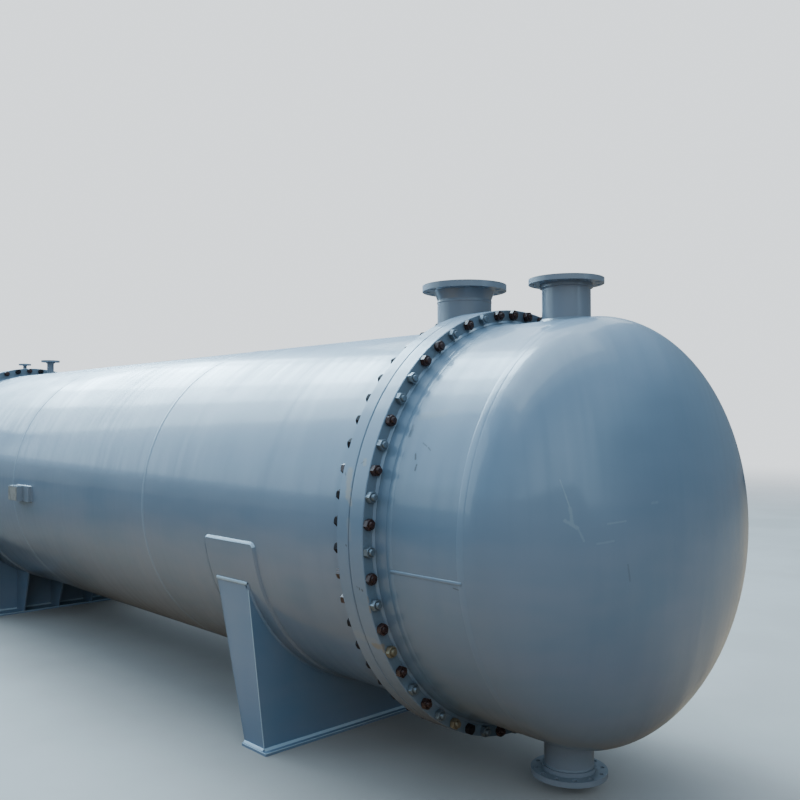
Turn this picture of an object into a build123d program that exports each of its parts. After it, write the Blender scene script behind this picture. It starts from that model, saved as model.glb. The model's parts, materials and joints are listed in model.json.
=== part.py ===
from build123d import *
import os
from math import cos, radians, sin, sqrt

# Horizontal shell-and-tube heat exchanger on two welded saddles, in millimetres.
# X runs along the vessel towards the front channel, where the inlet and outlet are.
# Z is up. The origin is on the floor, under the middle of the vessel.
# Left is the -Y side and right is the +Y side, as seen by someone who faces the front head.

# Vessel
SHELL_BORE = 1800.0
SHELL_WALL = 18.0
TUBE_LENGTH = 6000.0
FRONT_COURSE_LENGTH = 1813.0
MIDDLE_COURSE_LENGTH = 2000.0
SEAT_GAP = 0.3

# Girth joint: the tubesheet, a gasket and a welding neck flange on each channel
TUBESHEET_THICKNESS = 72.0
GIRTH_RIM_HEIGHT = 72.0
GIRTH_RIM_EDGE = 25.0
GIRTH_BOLT_COUNT = 56
GIRTH_HOLE_DIAMETER = 33.0
RIM_CHAMFER = 3.0
GASKET_THICKNESS = 3.0
GASKET_CLEARANCE = 2.5
GASKET_WIDTH = 30.0
CHANNEL_FLANGE_THICKNESS = 84.0
CHANNEL_HUB_LENGTH = 75.0
CHANNEL_HUB_RISE = 12.0
CHANNEL_HUB_STRAIGHT = 15.0

# Channels and heads
CHANNEL_BARREL_LENGTH = 378.0
HEAD_STRAIGHT = 25.0
HEAD_DEPTH = 450.0

# Saddles: the end ribs meet the wear plate at an angle below its ends
SADDLE_SPACING = 4000.0
SADDLE_HEIGHT = 240.0
WRAPPER_THICKNESS = 10.0
WRAPPER_WIDTH = 426.0
WRAPPER_ANGLE = 165.0
WRAPPER_CORNER = 20.0
END_RIB_DROP_ANGLE = 13.0
BASE_LENGTH = 1576.0
BASE_WIDTH = 208.0
BASE_THICKNESS = 14.0
BASE_LIP = 38.0
WEB_THICKNESS = 12.0
WEB_OFFSET = 105.0
RIB_THICKNESS = 12.0
RIB_TOP_WIDTH = 261.0
RIB_SPACING = 295.0
END_RIB_INSET = 18.0
ANCHOR_INSET = 172.0
ANCHOR_OFFSET = 85.0
ANCHOR_HOLE_DIAMETER = 28.0
ANCHOR_SLOT_LENGTH = 60.0

# Nozzles: each row is one standard size of pipe and flange, in steps outwards from the pipe:
# to the hub's foot, to the bolt circle and to the rim, then the raised face inside the holes
LARGE_PIPE = dict(pipe=273.0, wall=8.0, hub_rise=16.5, neck=56.0, thickness=32.0,
                  bolt_reach=32.0, holes=12, hole=30.0, rim_edge=27.5, face_gap=2.5)
MEDIUM_PIPE = dict(pipe=219.1, wall=8.0, hub_rise=10.45, neck=18.0, thickness=26.0,
                   bolt_reach=27.5, holes=12, hole=22.0, rim_edge=22.5, face_gap=2.5)
SMALL_PIPE = dict(pipe=60.3, wall=5.0, hub_rise=8.85, neck=10.0, thickness=18.0,
                  bolt_reach=23.5, holes=4, hole=18.0, rim_edge=20.0, face_gap=2.5)
NARROW_PIPE = dict(pipe=33.7, wall=4.5, hub_rise=6.15, neck=22.0, thickness=16.0,
                   bolt_reach=19.5, holes=4, hole=14.0, rim_edge=15.0, face_gap=1.5)
RAISED_FACE = 2.0
PIPE_SETBACK = 8.0
WELD_NECK_STRAIGHT = 12.0

# Where the nozzles stand, and how far their faces rise from the shell's outside
CHANNEL_NOZZLE_FROM_HEAD = 180.0
CHANNEL_NOZZLE_RISE = 192.0
SHELL_NOZZLE_FROM_FACE = 261.0
SHELL_INLET_RISE = 232.0
SHELL_OUTLET_RISE = 192.0
SHELL_VENT_FROM_FACE = 459.0
CHANNEL_VENT_FROM_HUB = 26.0
CHANNEL_DRAIN_FROM_HUB = 160.0
SMALL_NOZZLE_RISE = 132.0

# Nameplate on the left side, beside the rear seam
PLATE_BASE_LENGTH = 269.0
PLATE_BASE_HEIGHT = 108.0
PLATE_BASE_DEPTH = 24.0
PLATE_HOLDER_LENGTH = 167.0
PLATE_HOLDER_DEPTH = 41.0
PLATE_METAL = 4.0
NAMEPLATE_THICKNESS = 2.0
NAMEPLATE_MARGIN = 6.0
PLATE_FROM_SEAM = 88.0
PLATE_LIFT = -44.0

# Places that follow from the sizes above
SHELL_INNER = SHELL_BORE / 2
SHELL_OUTER = SHELL_INNER + SHELL_WALL
AXIS_HEIGHT = SHELL_OUTER + WRAPPER_THICKNESS + SADDLE_HEIGHT
TUBESHEET_FACE = TUBE_LENGTH / 2
SHELL_END = TUBESHEET_FACE - TUBESHEET_THICKNESS
FRONT_SEAM = SHELL_END - FRONT_COURSE_LENGTH
REAR_SEAM = FRONT_SEAM - MIDDLE_COURSE_LENGTH
CHANNEL_FACE = TUBESHEET_FACE + GASKET_THICKNESS
HUB_START = CHANNEL_FACE + CHANNEL_FLANGE_THICKNESS
BARREL_START = HUB_START + CHANNEL_HUB_LENGTH
HEAD_START = BARREL_START + CHANNEL_BARREL_LENGTH
WRAPPER_INNER = SHELL_OUTER + SEAT_GAP
WRAPPER_OUTER = WRAPPER_INNER + WRAPPER_THICKNESS
SADDLE_ARC = WRAPPER_OUTER + SEAT_GAP
GIRTH_RIM = SHELL_OUTER + GIRTH_RIM_HEIGHT
GIRTH_BOLT_RADIUS = GIRTH_RIM - GIRTH_RIM_EDGE
GASKET_OUTER = GIRTH_BOLT_RADIUS - GIRTH_HOLE_DIAMETER / 2 - GASKET_CLEARANCE

VESSEL_AXIS = Axis((0, 0, AXIS_HEIGHT), (1, 0, 0))
CROSS_SECTION = Plane(origin=(0, 0, AXIS_HEIGHT), x_dir=(0, 1, 0), z_dir=(1, 0, 0))
SIDE_VIEW = Plane(origin=(0, 0, AXIS_HEIGHT), x_dir=(1, 0, 0), z_dir=(0, -1, 0))


def save(name, shape):
    """Writes one sub-part, named after its node."""
    os.makedirs("parts", exist_ok=True)
    shape.label = name
    export_step(shape, f"parts/{name}.step")


def along_vessel(sketch, start, end):
    """Extrudes a cross-section of the vessel between two places on X."""
    return extrude(CROSS_SECTION.offset(start) * sketch, end - start)


def turned(outline):
    """Turns a closed outline, drawn as X against radius, about the vessel's axis."""
    return revolve(SIDE_VIEW * make_face(outline), VESSEL_AXIS, 360)


def rearward(shape):
    """Mirrors a front piece to the rear end."""
    return mirror(shape, Plane.YZ)


def upright(x, direction):
    """Frame of a nozzle: its Z axis leaves the vessel upwards (1) or downwards (-1)."""
    return Plane(origin=(x, 0, AXIS_HEIGHT), x_dir=(1, 0, 0), z_dir=(0, 0, direction))


def nozzle_hole(x, direction, size):
    """The opening that a vessel wall gets for a set-in nozzle."""
    opening = Circle(size["pipe"] / 2 + SEAT_GAP)
    return extrude(upright(x, direction) * opening, SHELL_OUTER + SHELL_WALL)


def course(start, end, holes=()):
    """One rolled plate of the shell or a channel."""
    plate = along_vessel(Circle(SHELL_OUTER) - Circle(SHELL_INNER), start, end)
    for hole in holes:
        plate -= hole
    return plate


def girth_holes(start, end):
    """The stud holes of a girth joint, on both sides of the upright centre line."""
    pitch = 360 / GIRTH_BOLT_COUNT
    places = PolarLocations(GIRTH_BOLT_RADIUS, GIRTH_BOLT_COUNT, start_angle=90 + pitch / 2)
    return along_vessel(Sketch() + places * Circle(GIRTH_HOLE_DIAMETER / 2), start, end)


def tubesheet():
    """The front tubesheet, whose rim is also the shell's girth flange."""
    plate = along_vessel(Circle(GIRTH_RIM), SHELL_END, TUBESHEET_FACE)
    rim_edges = plate.edges().filter_by(GeomType.CIRCLE)
    plate = chamfer(rim_edges, RIM_CHAMFER)
    return plate - girth_holes(SHELL_END, TUBESHEET_FACE)


def gasket():
    """The front gasket ring, inside the stud holes."""
    ring = Circle(GASKET_OUTER) - Circle(GASKET_OUTER - GASKET_WIDTH)
    return along_vessel(ring, TUBESHEET_FACE, CHANNEL_FACE)


def channel_flange():
    """The front channel's welding neck flange: a thick rim and a tapered hub."""
    hub_root = SHELL_OUTER + CHANNEL_HUB_RISE
    outline = Polyline(
        (CHANNEL_FACE, SHELL_INNER),
        (CHANNEL_FACE, GIRTH_RIM - RIM_CHAMFER),
        (CHANNEL_FACE + RIM_CHAMFER, GIRTH_RIM),
        (HUB_START - RIM_CHAMFER, GIRTH_RIM),
        (HUB_START, GIRTH_RIM - RIM_CHAMFER),
        (HUB_START, hub_root),
        (BARREL_START - CHANNEL_HUB_STRAIGHT, SHELL_OUTER),
        (BARREL_START, SHELL_OUTER),
        (BARREL_START, SHELL_INNER),
        close=True,
    )
    return turned(outline) - girth_holes(CHANNEL_FACE, HUB_START)


def dome(radius, depth):
    """A solid half ellipsoid on a short cylinder, on the front channel's end."""
    crown_centre = HEAD_START + HEAD_STRAIGHT
    outline = [
        EllipticalCenterArc(
            (crown_centre, 0), radius, depth, start_angle=-90, arc_size=90, rotation=90),
        Line((crown_centre, radius), (HEAD_START, radius)),
        Line((HEAD_START, radius), (HEAD_START, 0)),
        Line((HEAD_START, 0), (crown_centre + depth, 0)),
    ]
    return turned(outline)


def head():
    """The front 2:1 ellipsoidal head with its straight flange."""
    return dome(SHELL_OUTER, HEAD_DEPTH + SHELL_WALL) - dome(SHELL_INNER, HEAD_DEPTH)


def nozzle(x, direction, size, rise, weld_neck):
    """A nozzle's pipe and flange: a welding neck flange, or one slipped over the pipe."""
    frame = upright(x, direction)
    outer = size["pipe"] / 2
    inner = outer - size["wall"]
    hub = outer + size["hub_rise"]
    bolt_radius = hub + size["bolt_reach"]
    rim = bolt_radius + size["rim_edge"]
    raised = bolt_radius - size["hole"] / 2 - size["face_gap"]
    reach = SHELL_OUTER + rise
    flange_back = reach - size["thickness"]
    neck_end = flange_back - size["neck"]
    pipe_end = neck_end if weld_neck else reach - PIPE_SETBACK
    pipe = extrude(frame * (Circle(outer) - Circle(inner)), pipe_end)
    pipe -= along_vessel(Circle(SHELL_INNER), x - rim, x + rim)

    bore = inner if weld_neck else outer + SEAT_GAP
    neck_foot = outer if weld_neck else hub
    neck_straight = WELD_NECK_STRAIGHT if weld_neck else 0.6 * size["neck"]
    outline = Polyline(
        (bore, neck_end),
        (neck_foot, neck_end),
        (neck_foot, neck_end + neck_straight),
        (hub, flange_back),
        (rim, flange_back),
        (rim, reach - RAISED_FACE),
        (raised, reach - RAISED_FACE),
        (raised, reach),
        (bore, reach),
        close=True,
    )
    profile = Plane(origin=frame.origin, x_dir=(1, 0, 0), z_dir=(0, -direction, 0))
    flange = revolve(profile * make_face(outline), Axis(frame.origin, frame.z_dir), 360)
    places = PolarLocations(bolt_radius, size["holes"], start_angle=180 / size["holes"])
    holes = Sketch() + places * Circle(size["hole"] / 2)
    flange -= extrude(frame.offset(flange_back) * holes, size["thickness"])
    return pipe, flange


def wrapper(centre):
    """The wear plate that a saddle is welded to, bent round the shell's lower half."""
    half_angle = radians(WRAPPER_ANGLE / 2)
    far = 2 * SHELL_OUTER
    ring = Circle(WRAPPER_OUTER) - Circle(WRAPPER_INNER)
    sector = make_face(Polyline(
        (0, 0),
        (far * sin(half_angle), -far * cos(half_angle)),
        (far, -2 * far),
        (-far, -2 * far),
        (-far * sin(half_angle), -far * cos(half_angle)),
        close=True,
    ))
    half_width = WRAPPER_WIDTH / 2
    plate = along_vessel(ring & sector, centre - half_width, centre + half_width)
    corners = [edge for edge in plate.edges() if abs(edge.length - WRAPPER_THICKNESS) < 1e-3]
    return fillet(corners, WRAPPER_CORNER)


def saddle_seat():
    """Removes what lies inside the wrapper's outer face."""
    return along_vessel(Circle(SADDLE_ARC), -TUBE_LENGTH, TUBE_LENGTH)


# Height above the vessel's axis of the base plate's top, and the end rib's outer line
BASE_TOP = BASE_THICKNESS - AXIS_HEIGHT
END_RIB_FOOT = BASE_LENGTH / 2 - END_RIB_INSET
END_RIB_ANGLE = radians(WRAPPER_ANGLE / 2 - END_RIB_DROP_ANGLE)
END_RIB_TOP = (SADDLE_ARC * sin(END_RIB_ANGLE), -SADDLE_ARC * cos(END_RIB_ANGLE))
RIB_FOOT_WIDTH = BASE_WIDTH - BASE_LIP - WEB_THICKNESS


def saddle_web(centre):
    """The upright plate across the vessel, flush with the end ribs' outer faces."""
    top_y, top_z = END_RIB_TOP
    outline = make_face(Polyline(
        (-END_RIB_FOOT, BASE_TOP),
        (END_RIB_FOOT, BASE_TOP),
        (top_y, top_z),
        (-top_y, top_z),
        close=True,
    ))
    face = centre + WEB_OFFSET
    return along_vessel(outline, face - WEB_THICKNESS, face) - saddle_seat()


def rib_side(centre, top_z):
    """Side outline of a rib: narrow at its foot, wide where it carries the wrapper."""
    back = centre + WEB_OFFSET - WEB_THICKNESS
    slope = (RIB_TOP_WIDTH - RIB_FOOT_WIDTH) / (top_z - BASE_TOP)
    rise = SADDLE_ARC * 0.2
    outline = make_face(Polyline(
        (back, BASE_TOP),
        (back, top_z + rise),
        (back - RIB_TOP_WIDTH - slope * rise, top_z + rise),
        (back - RIB_FOOT_WIDTH, BASE_TOP),
        close=True,
    ))
    return extrude(SIDE_VIEW * outline, BASE_LENGTH, both=True)


def end_rib(centre, side):
    """A slanted end rib, on the left (-1) or the right (1)."""
    top_y, top_z = END_RIB_TOP
    lean = (top_y - END_RIB_FOOT) / (top_z - BASE_TOP)
    across = RIB_THICKNESS * sqrt(1 + lean * lean)
    outline = make_face(Polyline(
        (side * END_RIB_FOOT, BASE_TOP),
        (side * top_y, top_z),
        (side * (top_y - across), top_z),
        (side * (END_RIB_FOOT - across), BASE_TOP),
        close=True,
    ))
    back = centre + WEB_OFFSET - WEB_THICKNESS
    plate = along_vessel(outline, back - 2 * RIB_TOP_WIDTH, back)
    return (plate & rib_side(centre, top_z)) - saddle_seat()


def inner_ribs(centre):
    """The upright ribs between the end ribs."""
    ribs = []
    for step in (-1.5, -0.5, 0.5, 1.5):
        y = step * RIB_SPACING
        top_z = -sqrt(SADDLE_ARC ** 2 - y ** 2)
        outline = Pos(y, BASE_TOP / 2) * Rectangle(RIB_THICKNESS, -BASE_TOP)
        back = centre + WEB_OFFSET - WEB_THICKNESS
        plate = along_vessel(outline, back - 2 * RIB_TOP_WIDTH, back)
        ribs.append((plate & rib_side(centre, top_z)) - saddle_seat())
    return Compound(children=ribs)


def saddle_base(centre, slotted):
    """The base plate with two anchor holes, or slots along X where the vessel may slide."""
    middle = centre + WEB_OFFSET + BASE_LIP - BASE_WIDTH / 2
    plate = Pos(middle, 0, BASE_THICKNESS / 2) * Box(BASE_WIDTH, BASE_LENGTH, BASE_THICKNESS)
    for side in (-1, 1):
        if slotted:
            opening = SlotOverall(ANCHOR_SLOT_LENGTH, ANCHOR_HOLE_DIAMETER)
        else:
            opening = Circle(ANCHOR_HOLE_DIAMETER / 2)
        across = side * (BASE_LENGTH / 2 - ANCHOR_INSET)
        place = Pos(centre + WEB_OFFSET - WEB_THICKNESS - ANCHOR_OFFSET, across)
        plate -= extrude(place * opening, BASE_THICKNESS)
    return plate


def folded_tray(left_x, right_x, back_y, front_y, bottom_z, top_z):
    """A plate folded into a shallow tray that is open towards the vessel."""
    size = (right_x - left_x, abs(back_y - front_y), top_z - bottom_z)
    middle = ((left_x + right_x) / 2, (back_y + front_y) / 2, (bottom_z + top_z) / 2)
    block = Pos(*middle) * Box(*size)
    hollow = Pos(middle[0], middle[1] + PLATE_METAL, middle[2]) * Box(
        size[0] - 2 * PLATE_METAL, size[1], size[2] - 2 * PLATE_METAL)
    return block - hollow


def nameplate_pieces():
    """The bare nameplate, its holder and the tray that is welded to the shell."""
    left_x = REAR_SEAM + PLATE_FROM_SEAM
    base_right = left_x + PLATE_BASE_LENGTH
    holder_right = left_x + PLATE_HOLDER_LENGTH
    middle_z = AXIS_HEIGHT + PLATE_LIFT
    bottom_z = middle_z - PLATE_BASE_HEIGHT / 2
    top_z = middle_z + PLATE_BASE_HEIGHT / 2
    base_front = -SHELL_OUTER - PLATE_BASE_DEPTH
    holder_front = base_front - PLATE_HOLDER_DEPTH

    base = folded_tray(left_x, base_right, -SHELL_INNER, base_front, bottom_z, top_z)
    base -= along_vessel(Circle(SHELL_OUTER + SEAT_GAP), left_x, base_right)
    holder = folded_tray(left_x, holder_right, base_front, holder_front, bottom_z, top_z)
    plate_length = PLATE_HOLDER_LENGTH - 2 * NAMEPLATE_MARGIN
    plate_height = PLATE_BASE_HEIGHT - 2 * NAMEPLATE_MARGIN
    place = Pos((left_x + holder_right) / 2, holder_front - NAMEPLATE_THICKNESS / 2, middle_z)
    plate = place * Box(plate_length, NAMEPLATE_THICKNESS, plate_height)
    return base, holder, plate


# Shell
shell_nozzle_x = TUBESHEET_FACE - SHELL_NOZZLE_FROM_FACE
shell_vent_x = TUBESHEET_FACE - SHELL_VENT_FROM_FACE
save("shell_course_front", course(FRONT_SEAM, SHELL_END, [
    nozzle_hole(shell_nozzle_x, 1, LARGE_PIPE)]))
save("shell_course_middle", course(REAR_SEAM, FRONT_SEAM))
save("shell_course_rear", course(-SHELL_END, REAR_SEAM, [
    nozzle_hole(-shell_nozzle_x, -1, LARGE_PIPE), nozzle_hole(-shell_vent_x, 1, SMALL_PIPE)]))

# Girth joints
save("tubesheet_front", tubesheet())
save("tubesheet_rear", rearward(tubesheet()))
save("gasket_front", gasket())
save("gasket_rear", rearward(gasket()))
save("channel_flange_front", channel_flange())
save("channel_flange_rear", rearward(channel_flange()))

# Channels and heads
channel_nozzle_x = HEAD_START - CHANNEL_NOZZLE_FROM_HEAD
channel_vent_x = BARREL_START + CHANNEL_VENT_FROM_HUB
channel_drain_x = BARREL_START + CHANNEL_DRAIN_FROM_HUB
save("channel_barrel_front", course(BARREL_START, HEAD_START, [
    nozzle_hole(channel_nozzle_x, side, MEDIUM_PIPE) for side in (1, -1)]))
save("channel_barrel_rear", course(-HEAD_START, -BARREL_START, [
    nozzle_hole(-channel_vent_x, 1, NARROW_PIPE),
    nozzle_hole(-channel_drain_x, -1, SMALL_PIPE)]))
save("head_front", head())
save("head_rear", rearward(head()))

# Nozzles
nozzles = {
    "channel_inlet": nozzle(channel_nozzle_x, -1, MEDIUM_PIPE, CHANNEL_NOZZLE_RISE, False),
    "channel_outlet": nozzle(channel_nozzle_x, 1, MEDIUM_PIPE, CHANNEL_NOZZLE_RISE, False),
    "shell_inlet": nozzle(shell_nozzle_x, 1, LARGE_PIPE, SHELL_INLET_RISE, True),
    "shell_outlet": nozzle(-shell_nozzle_x, -1, LARGE_PIPE, SHELL_OUTLET_RISE, True),
    "shell_vent": nozzle(-shell_vent_x, 1, SMALL_PIPE, SMALL_NOZZLE_RISE, False),
    "channel_vent": nozzle(-channel_vent_x, 1, NARROW_PIPE, SMALL_NOZZLE_RISE, True),
    "channel_drain": nozzle(-channel_drain_x, -1, SMALL_PIPE, SMALL_NOZZLE_RISE, False),
}
for name, (pipe, flange) in nozzles.items():
    save(f"{name}_pipe", pipe)
    save(f"{name}_flange", flange)

# Saddles: the rear one is the mirror image, with slots for the vessel's growth
saddle_x = SADDLE_SPACING / 2
saddle = {
    "wrapper": wrapper(saddle_x),
    "web": saddle_web(saddle_x),
    "end_rib_left": end_rib(saddle_x, -1),
    "end_rib_right": end_rib(saddle_x, 1),
    "inner_ribs": inner_ribs(saddle_x),
}
for name, piece in saddle.items():
    save(f"saddle_front_{name}", piece)
    save(f"saddle_rear_{name}", rearward(piece))
save("saddle_front_base", saddle_base(saddle_x, False))
save("saddle_rear_base", rearward(saddle_base(saddle_x, True)))

# Nameplate
for name, piece in zip(("nameplate_base", "nameplate_holder", "nameplate"), nameplate_pieces()):
    save(name, piece)
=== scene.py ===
"""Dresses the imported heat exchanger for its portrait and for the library.

The vessel lies along X on two saddles, with its front channel towards +X, Z up and the floor at zero.
Everything is in metres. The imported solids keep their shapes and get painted; studs, nuts, weld beads
and the wear on the paint are built here.
"""

from __future__ import annotations

import json
import logging
import math
import random
from collections.abc import Sequence
from dataclasses import dataclass, field
from enum import Enum
from typing import Any

import bpy
from mathutils import Matrix, Vector

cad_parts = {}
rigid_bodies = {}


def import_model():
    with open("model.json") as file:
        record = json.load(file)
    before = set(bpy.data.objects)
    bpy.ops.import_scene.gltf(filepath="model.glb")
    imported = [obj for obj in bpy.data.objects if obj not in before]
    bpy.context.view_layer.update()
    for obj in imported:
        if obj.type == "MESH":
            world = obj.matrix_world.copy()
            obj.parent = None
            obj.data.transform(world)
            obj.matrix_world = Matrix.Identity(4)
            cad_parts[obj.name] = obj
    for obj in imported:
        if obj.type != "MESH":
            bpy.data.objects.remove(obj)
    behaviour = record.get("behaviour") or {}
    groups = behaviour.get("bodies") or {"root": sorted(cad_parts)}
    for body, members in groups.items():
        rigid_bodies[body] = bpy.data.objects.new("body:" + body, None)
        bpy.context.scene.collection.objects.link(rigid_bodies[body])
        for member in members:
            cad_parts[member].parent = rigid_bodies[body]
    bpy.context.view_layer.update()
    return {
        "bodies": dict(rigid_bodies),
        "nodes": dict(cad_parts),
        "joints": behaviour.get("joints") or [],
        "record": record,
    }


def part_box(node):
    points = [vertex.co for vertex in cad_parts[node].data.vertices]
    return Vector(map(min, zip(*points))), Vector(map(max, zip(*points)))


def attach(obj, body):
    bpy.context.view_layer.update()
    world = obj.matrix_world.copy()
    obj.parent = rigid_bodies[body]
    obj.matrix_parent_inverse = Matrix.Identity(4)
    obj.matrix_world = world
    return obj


LOG = logging.getLogger("heat_exchanger")
ROOT = "root"
NOZZLES = (
    "channel_inlet", "channel_outlet", "shell_inlet", "shell_outlet",
    "shell_vent", "channel_vent", "channel_drain",
)

Colour = tuple[float, float, float]
Place = tuple[float, float, float]
Run = list[tuple[Vector, Vector, Vector]]


class End(Enum):
    """The two ends of the vessel, as a sign along X."""

    FRONT = 1
    REAR = -1

    @property
    def word(self) -> str:
        """The end's name in a piece's name."""
        return self.name.lower()


class Side(Enum):
    """The two sides of the vessel, as a sign along Y."""

    LEFT = -1
    RIGHT = 1


class NutFinish(Enum):
    """The finishes that the girth joint's nuts have, as places in its list of materials."""

    BROWN = 0
    ZINC = 1
    YELLOW = 2
    BLACK = 3


# Shader maths


class Signal:
    """One value on its way through a material, with Python's arithmetic."""

    def __init__(self, graph: Graph, socket: bpy.types.NodeSocket) -> None:
        """Wraps an output socket of the graph."""
        self.graph = graph
        self.socket = socket

    def __add__(self, other: Term) -> Signal:
        """Sum."""
        return self.graph.math("ADD", self, other)

    __radd__ = __add__

    def __sub__(self, other: Term) -> Signal:
        """Difference."""
        return self.graph.math("SUBTRACT", self, other)

    def __rsub__(self, other: Term) -> Signal:
        """Difference with the number on the left."""
        return self.graph.math("SUBTRACT", other, self)

    def __mul__(self, other: Term) -> Signal:
        """Product."""
        return self.graph.math("MULTIPLY", self, other)

    __rmul__ = __mul__

    def __truediv__(self, other: Term) -> Signal:
        """Quotient."""
        return self.graph.math("DIVIDE", self, other)

    def __abs__(self) -> Signal:
        """Size without its sign."""
        return self.graph.math("ABSOLUTE", self)

    def clamped(self) -> Signal:
        """The value kept between 0 and 1."""
        return self.graph.node("ShaderNodeClamp", {}, {"Value": self}).out("Result")

    def larger(self, other: Term) -> Signal:
        """The larger of two values."""
        return self.graph.math("MAXIMUM", self, other)


Term = Signal | float
Input = Signal | float | Sequence[float]


class Placed:
    """A node that stands in the graph, read by its output names."""

    def __init__(self, graph: Graph, made: bpy.types.Node) -> None:
        """Keeps the node and the graph it is in."""
        self.graph = graph
        self.made = made

    def out(self, name: str | int) -> Signal:
        """The signal at one of the node's outputs."""
        return Signal(self.graph, self.made.outputs[name])


class Graph:
    """A material's node tree, written as expressions."""

    def __init__(self, name: str) -> None:
        """Starts an empty material.

        Args:
            name: The material's name.
        """
        self.material = bpy.data.materials.new(name)
        self.material.use_nodes = True
        self.tree = self.material.node_tree
        self.tree.nodes.clear()

    @classmethod
    def of_world(cls, world: bpy.types.World) -> Graph:
        """Starts the empty graph of a world.

        Args:
            world: The world.

        Returns:
            Its graph.
        """
        graph = cls.__new__(cls)
        graph.tree = world.node_tree
        graph.tree.nodes.clear()
        return graph

    def node(self, kind: str, settings: dict[str, Any], inputs: dict[str | int, Input]) -> Placed:
        """Adds a node, sets it up, and then fills its sockets.

        Args:
            kind: The node's type.
            settings: Its properties.
            inputs: Socket name or number to a value or a signal.

        Returns:
            The node, to read its outputs from.
        """
        made = self.tree.nodes.new(kind)
        for key, value in settings.items():
            setattr(made, key, value)
        for key, value in inputs.items():
            self.feed(made.inputs[key], value)
        return Placed(self, made)

    def feed(self, socket: bpy.types.NodeSocket, value: Input) -> None:
        """Links a signal to a socket, or writes a value there.

        Args:
            socket: The socket.
            value: A signal, a number, or a colour or vector, given a fourth part where one is missing.
        """
        if isinstance(value, Signal):
            self.tree.links.new(value.socket, socket)
        elif isinstance(value, (int, float)):
            socket.default_value = float(value)
        else:
            length = len(socket.default_value)
            socket.default_value = (*value, 1.0)[:length] if len(value) < length else tuple(value)

    def math(self, operation: str, *terms: Term) -> Signal:
        """A Math node on one, two or three values."""
        return self.node("ShaderNodeMath", {"operation": operation}, dict(enumerate(terms))).out("Value")

    def vector_math(self, operation: str, inputs: dict[str | int, Input], out: str = "Vector") -> Signal:
        """A Vector Math node, read at the named output."""
        return self.node("ShaderNodeVectorMath", {"operation": operation}, inputs).out(out)

    def scaled(self, vector: Input, factor: Term) -> Signal:
        """A vector made longer or shorter by a factor."""
        return self.vector_math("SCALE", {0: vector, "Scale": factor})

    def dot(self, first: Input, second: Input) -> Signal:
        """The dot product of two vectors."""
        return self.vector_math("DOT_PRODUCT", {0: first, 1: second}, "Value")

    def distance(self, first: Input, second: Input) -> Signal:
        """The distance between two points."""
        return self.vector_math("DISTANCE", {0: first, 1: second}, "Value")

    def blend(self, start: Input, end: Input, factor: Term) -> Signal:
        """A Mix node on two colours.

        Args:
            start: The colour at factor 0.
            end: The colour at factor 1.
            factor: The share of the second colour.

        Returns:
            The mixed colour.
        """
        settings = {"data_type": "RGBA", "blend_type": "MIX", "clamp_factor": True}
        return self.node("ShaderNodeMix", settings, {0: factor, 6: start, 7: end}).out(2)

    def step(self, value: Term, low: float, high: float) -> Signal:
        """Rises smoothly from 0 at low to 1 at high; falls where low is the larger.

        Args:
            value: What is measured.
            low: Where the answer is 0.
            high: Where the answer is 1.

        Returns:
            The smooth step.
        """
        settings = {"interpolation_type": "SMOOTHSTEP", "clamp": True}
        inputs = {"Value": value, "From Min": low, "From Max": high, "To Min": 0.0, "To Max": 1.0}
        if low > high:
            inputs.update({"From Min": high, "From Max": low, "To Min": 1.0, "To Max": 0.0})
        return self.node("ShaderNodeMapRange", settings, inputs).out("Result")

    def noise(self, place: Input, scale: float, detail: float = 3.0, rough: float = 0.5) -> Signal:
        """Cloudy noise from 0 to 1.

        Args:
            place: Where it is read.
            scale: Features per metre, roughly.
            detail: Number of finer layers.
            rough: Strength of the finer layers.

        Returns:
            The noise.
        """
        inputs = {"Vector": place, "Scale": scale, "Detail": detail, "Roughness": rough}
        return self.node("ShaderNodeTexNoise", {"noise_dimensions": "3D"}, inputs).out(0)

    def place(self) -> Signal:
        """Where the surface is, in metres, the same in every view."""
        return self.node("ShaderNodeTexCoord", {}, {}).out("Object")

    def facing(self) -> Signal:
        """The surface's outward direction."""
        return self.node("ShaderNodeNewGeometry", {}, {}).out("Normal")

    def parts(self, vector: Signal) -> tuple[Signal, Signal, Signal]:
        """A vector's X, Y and Z."""
        split = self.node("ShaderNodeSeparateXYZ", {}, {0: vector})
        return split.out(0), split.out(1), split.out(2)

    def joined(self, x: Term, y: Term, z: Term) -> Signal:
        """A vector from three values."""
        return self.node("ShaderNodeCombineXYZ", {}, {0: x, 1: y, 2: z}).out(0)

    def stretched(self, vector: Signal, by: Sequence[float]) -> Signal:
        """A vector scaled along each axis."""
        return self.vector_math("MULTIPLY", {0: vector, 1: by})

    def bump(self, height: Signal, depth: float, below: Signal | None = None) -> Signal:
        """A normal that is tilted by a height.

        Args:
            height: The height, from 0 to 1.
            depth: What 1 stands for, in metres.
            below: A normal that this one adds to.

        Returns:
            The tilted normal.
        """
        inputs: dict[str | int, Input] = {"Strength": 1.0, "Distance": depth, "Height": height}
        if below is not None:
            inputs["Normal"] = below
        return self.node("ShaderNodeBump", {}, inputs).out("Normal")

    def surface(self, **sockets: Input) -> bpy.types.Material:
        """Ends the material in one principled shader.

        Args:
            **sockets: Socket names with underscores for spaces, to values or signals.

        Returns:
            The finished material.
        """
        inputs = {key.replace("_", " "): value for key, value in sockets.items()}
        shader = self.node("ShaderNodeBsdfPrincipled", {}, inputs).out("BSDF")
        self.node("ShaderNodeOutputMaterial", {}, {"Surface": shader})
        return self.material


# Sizes


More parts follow.
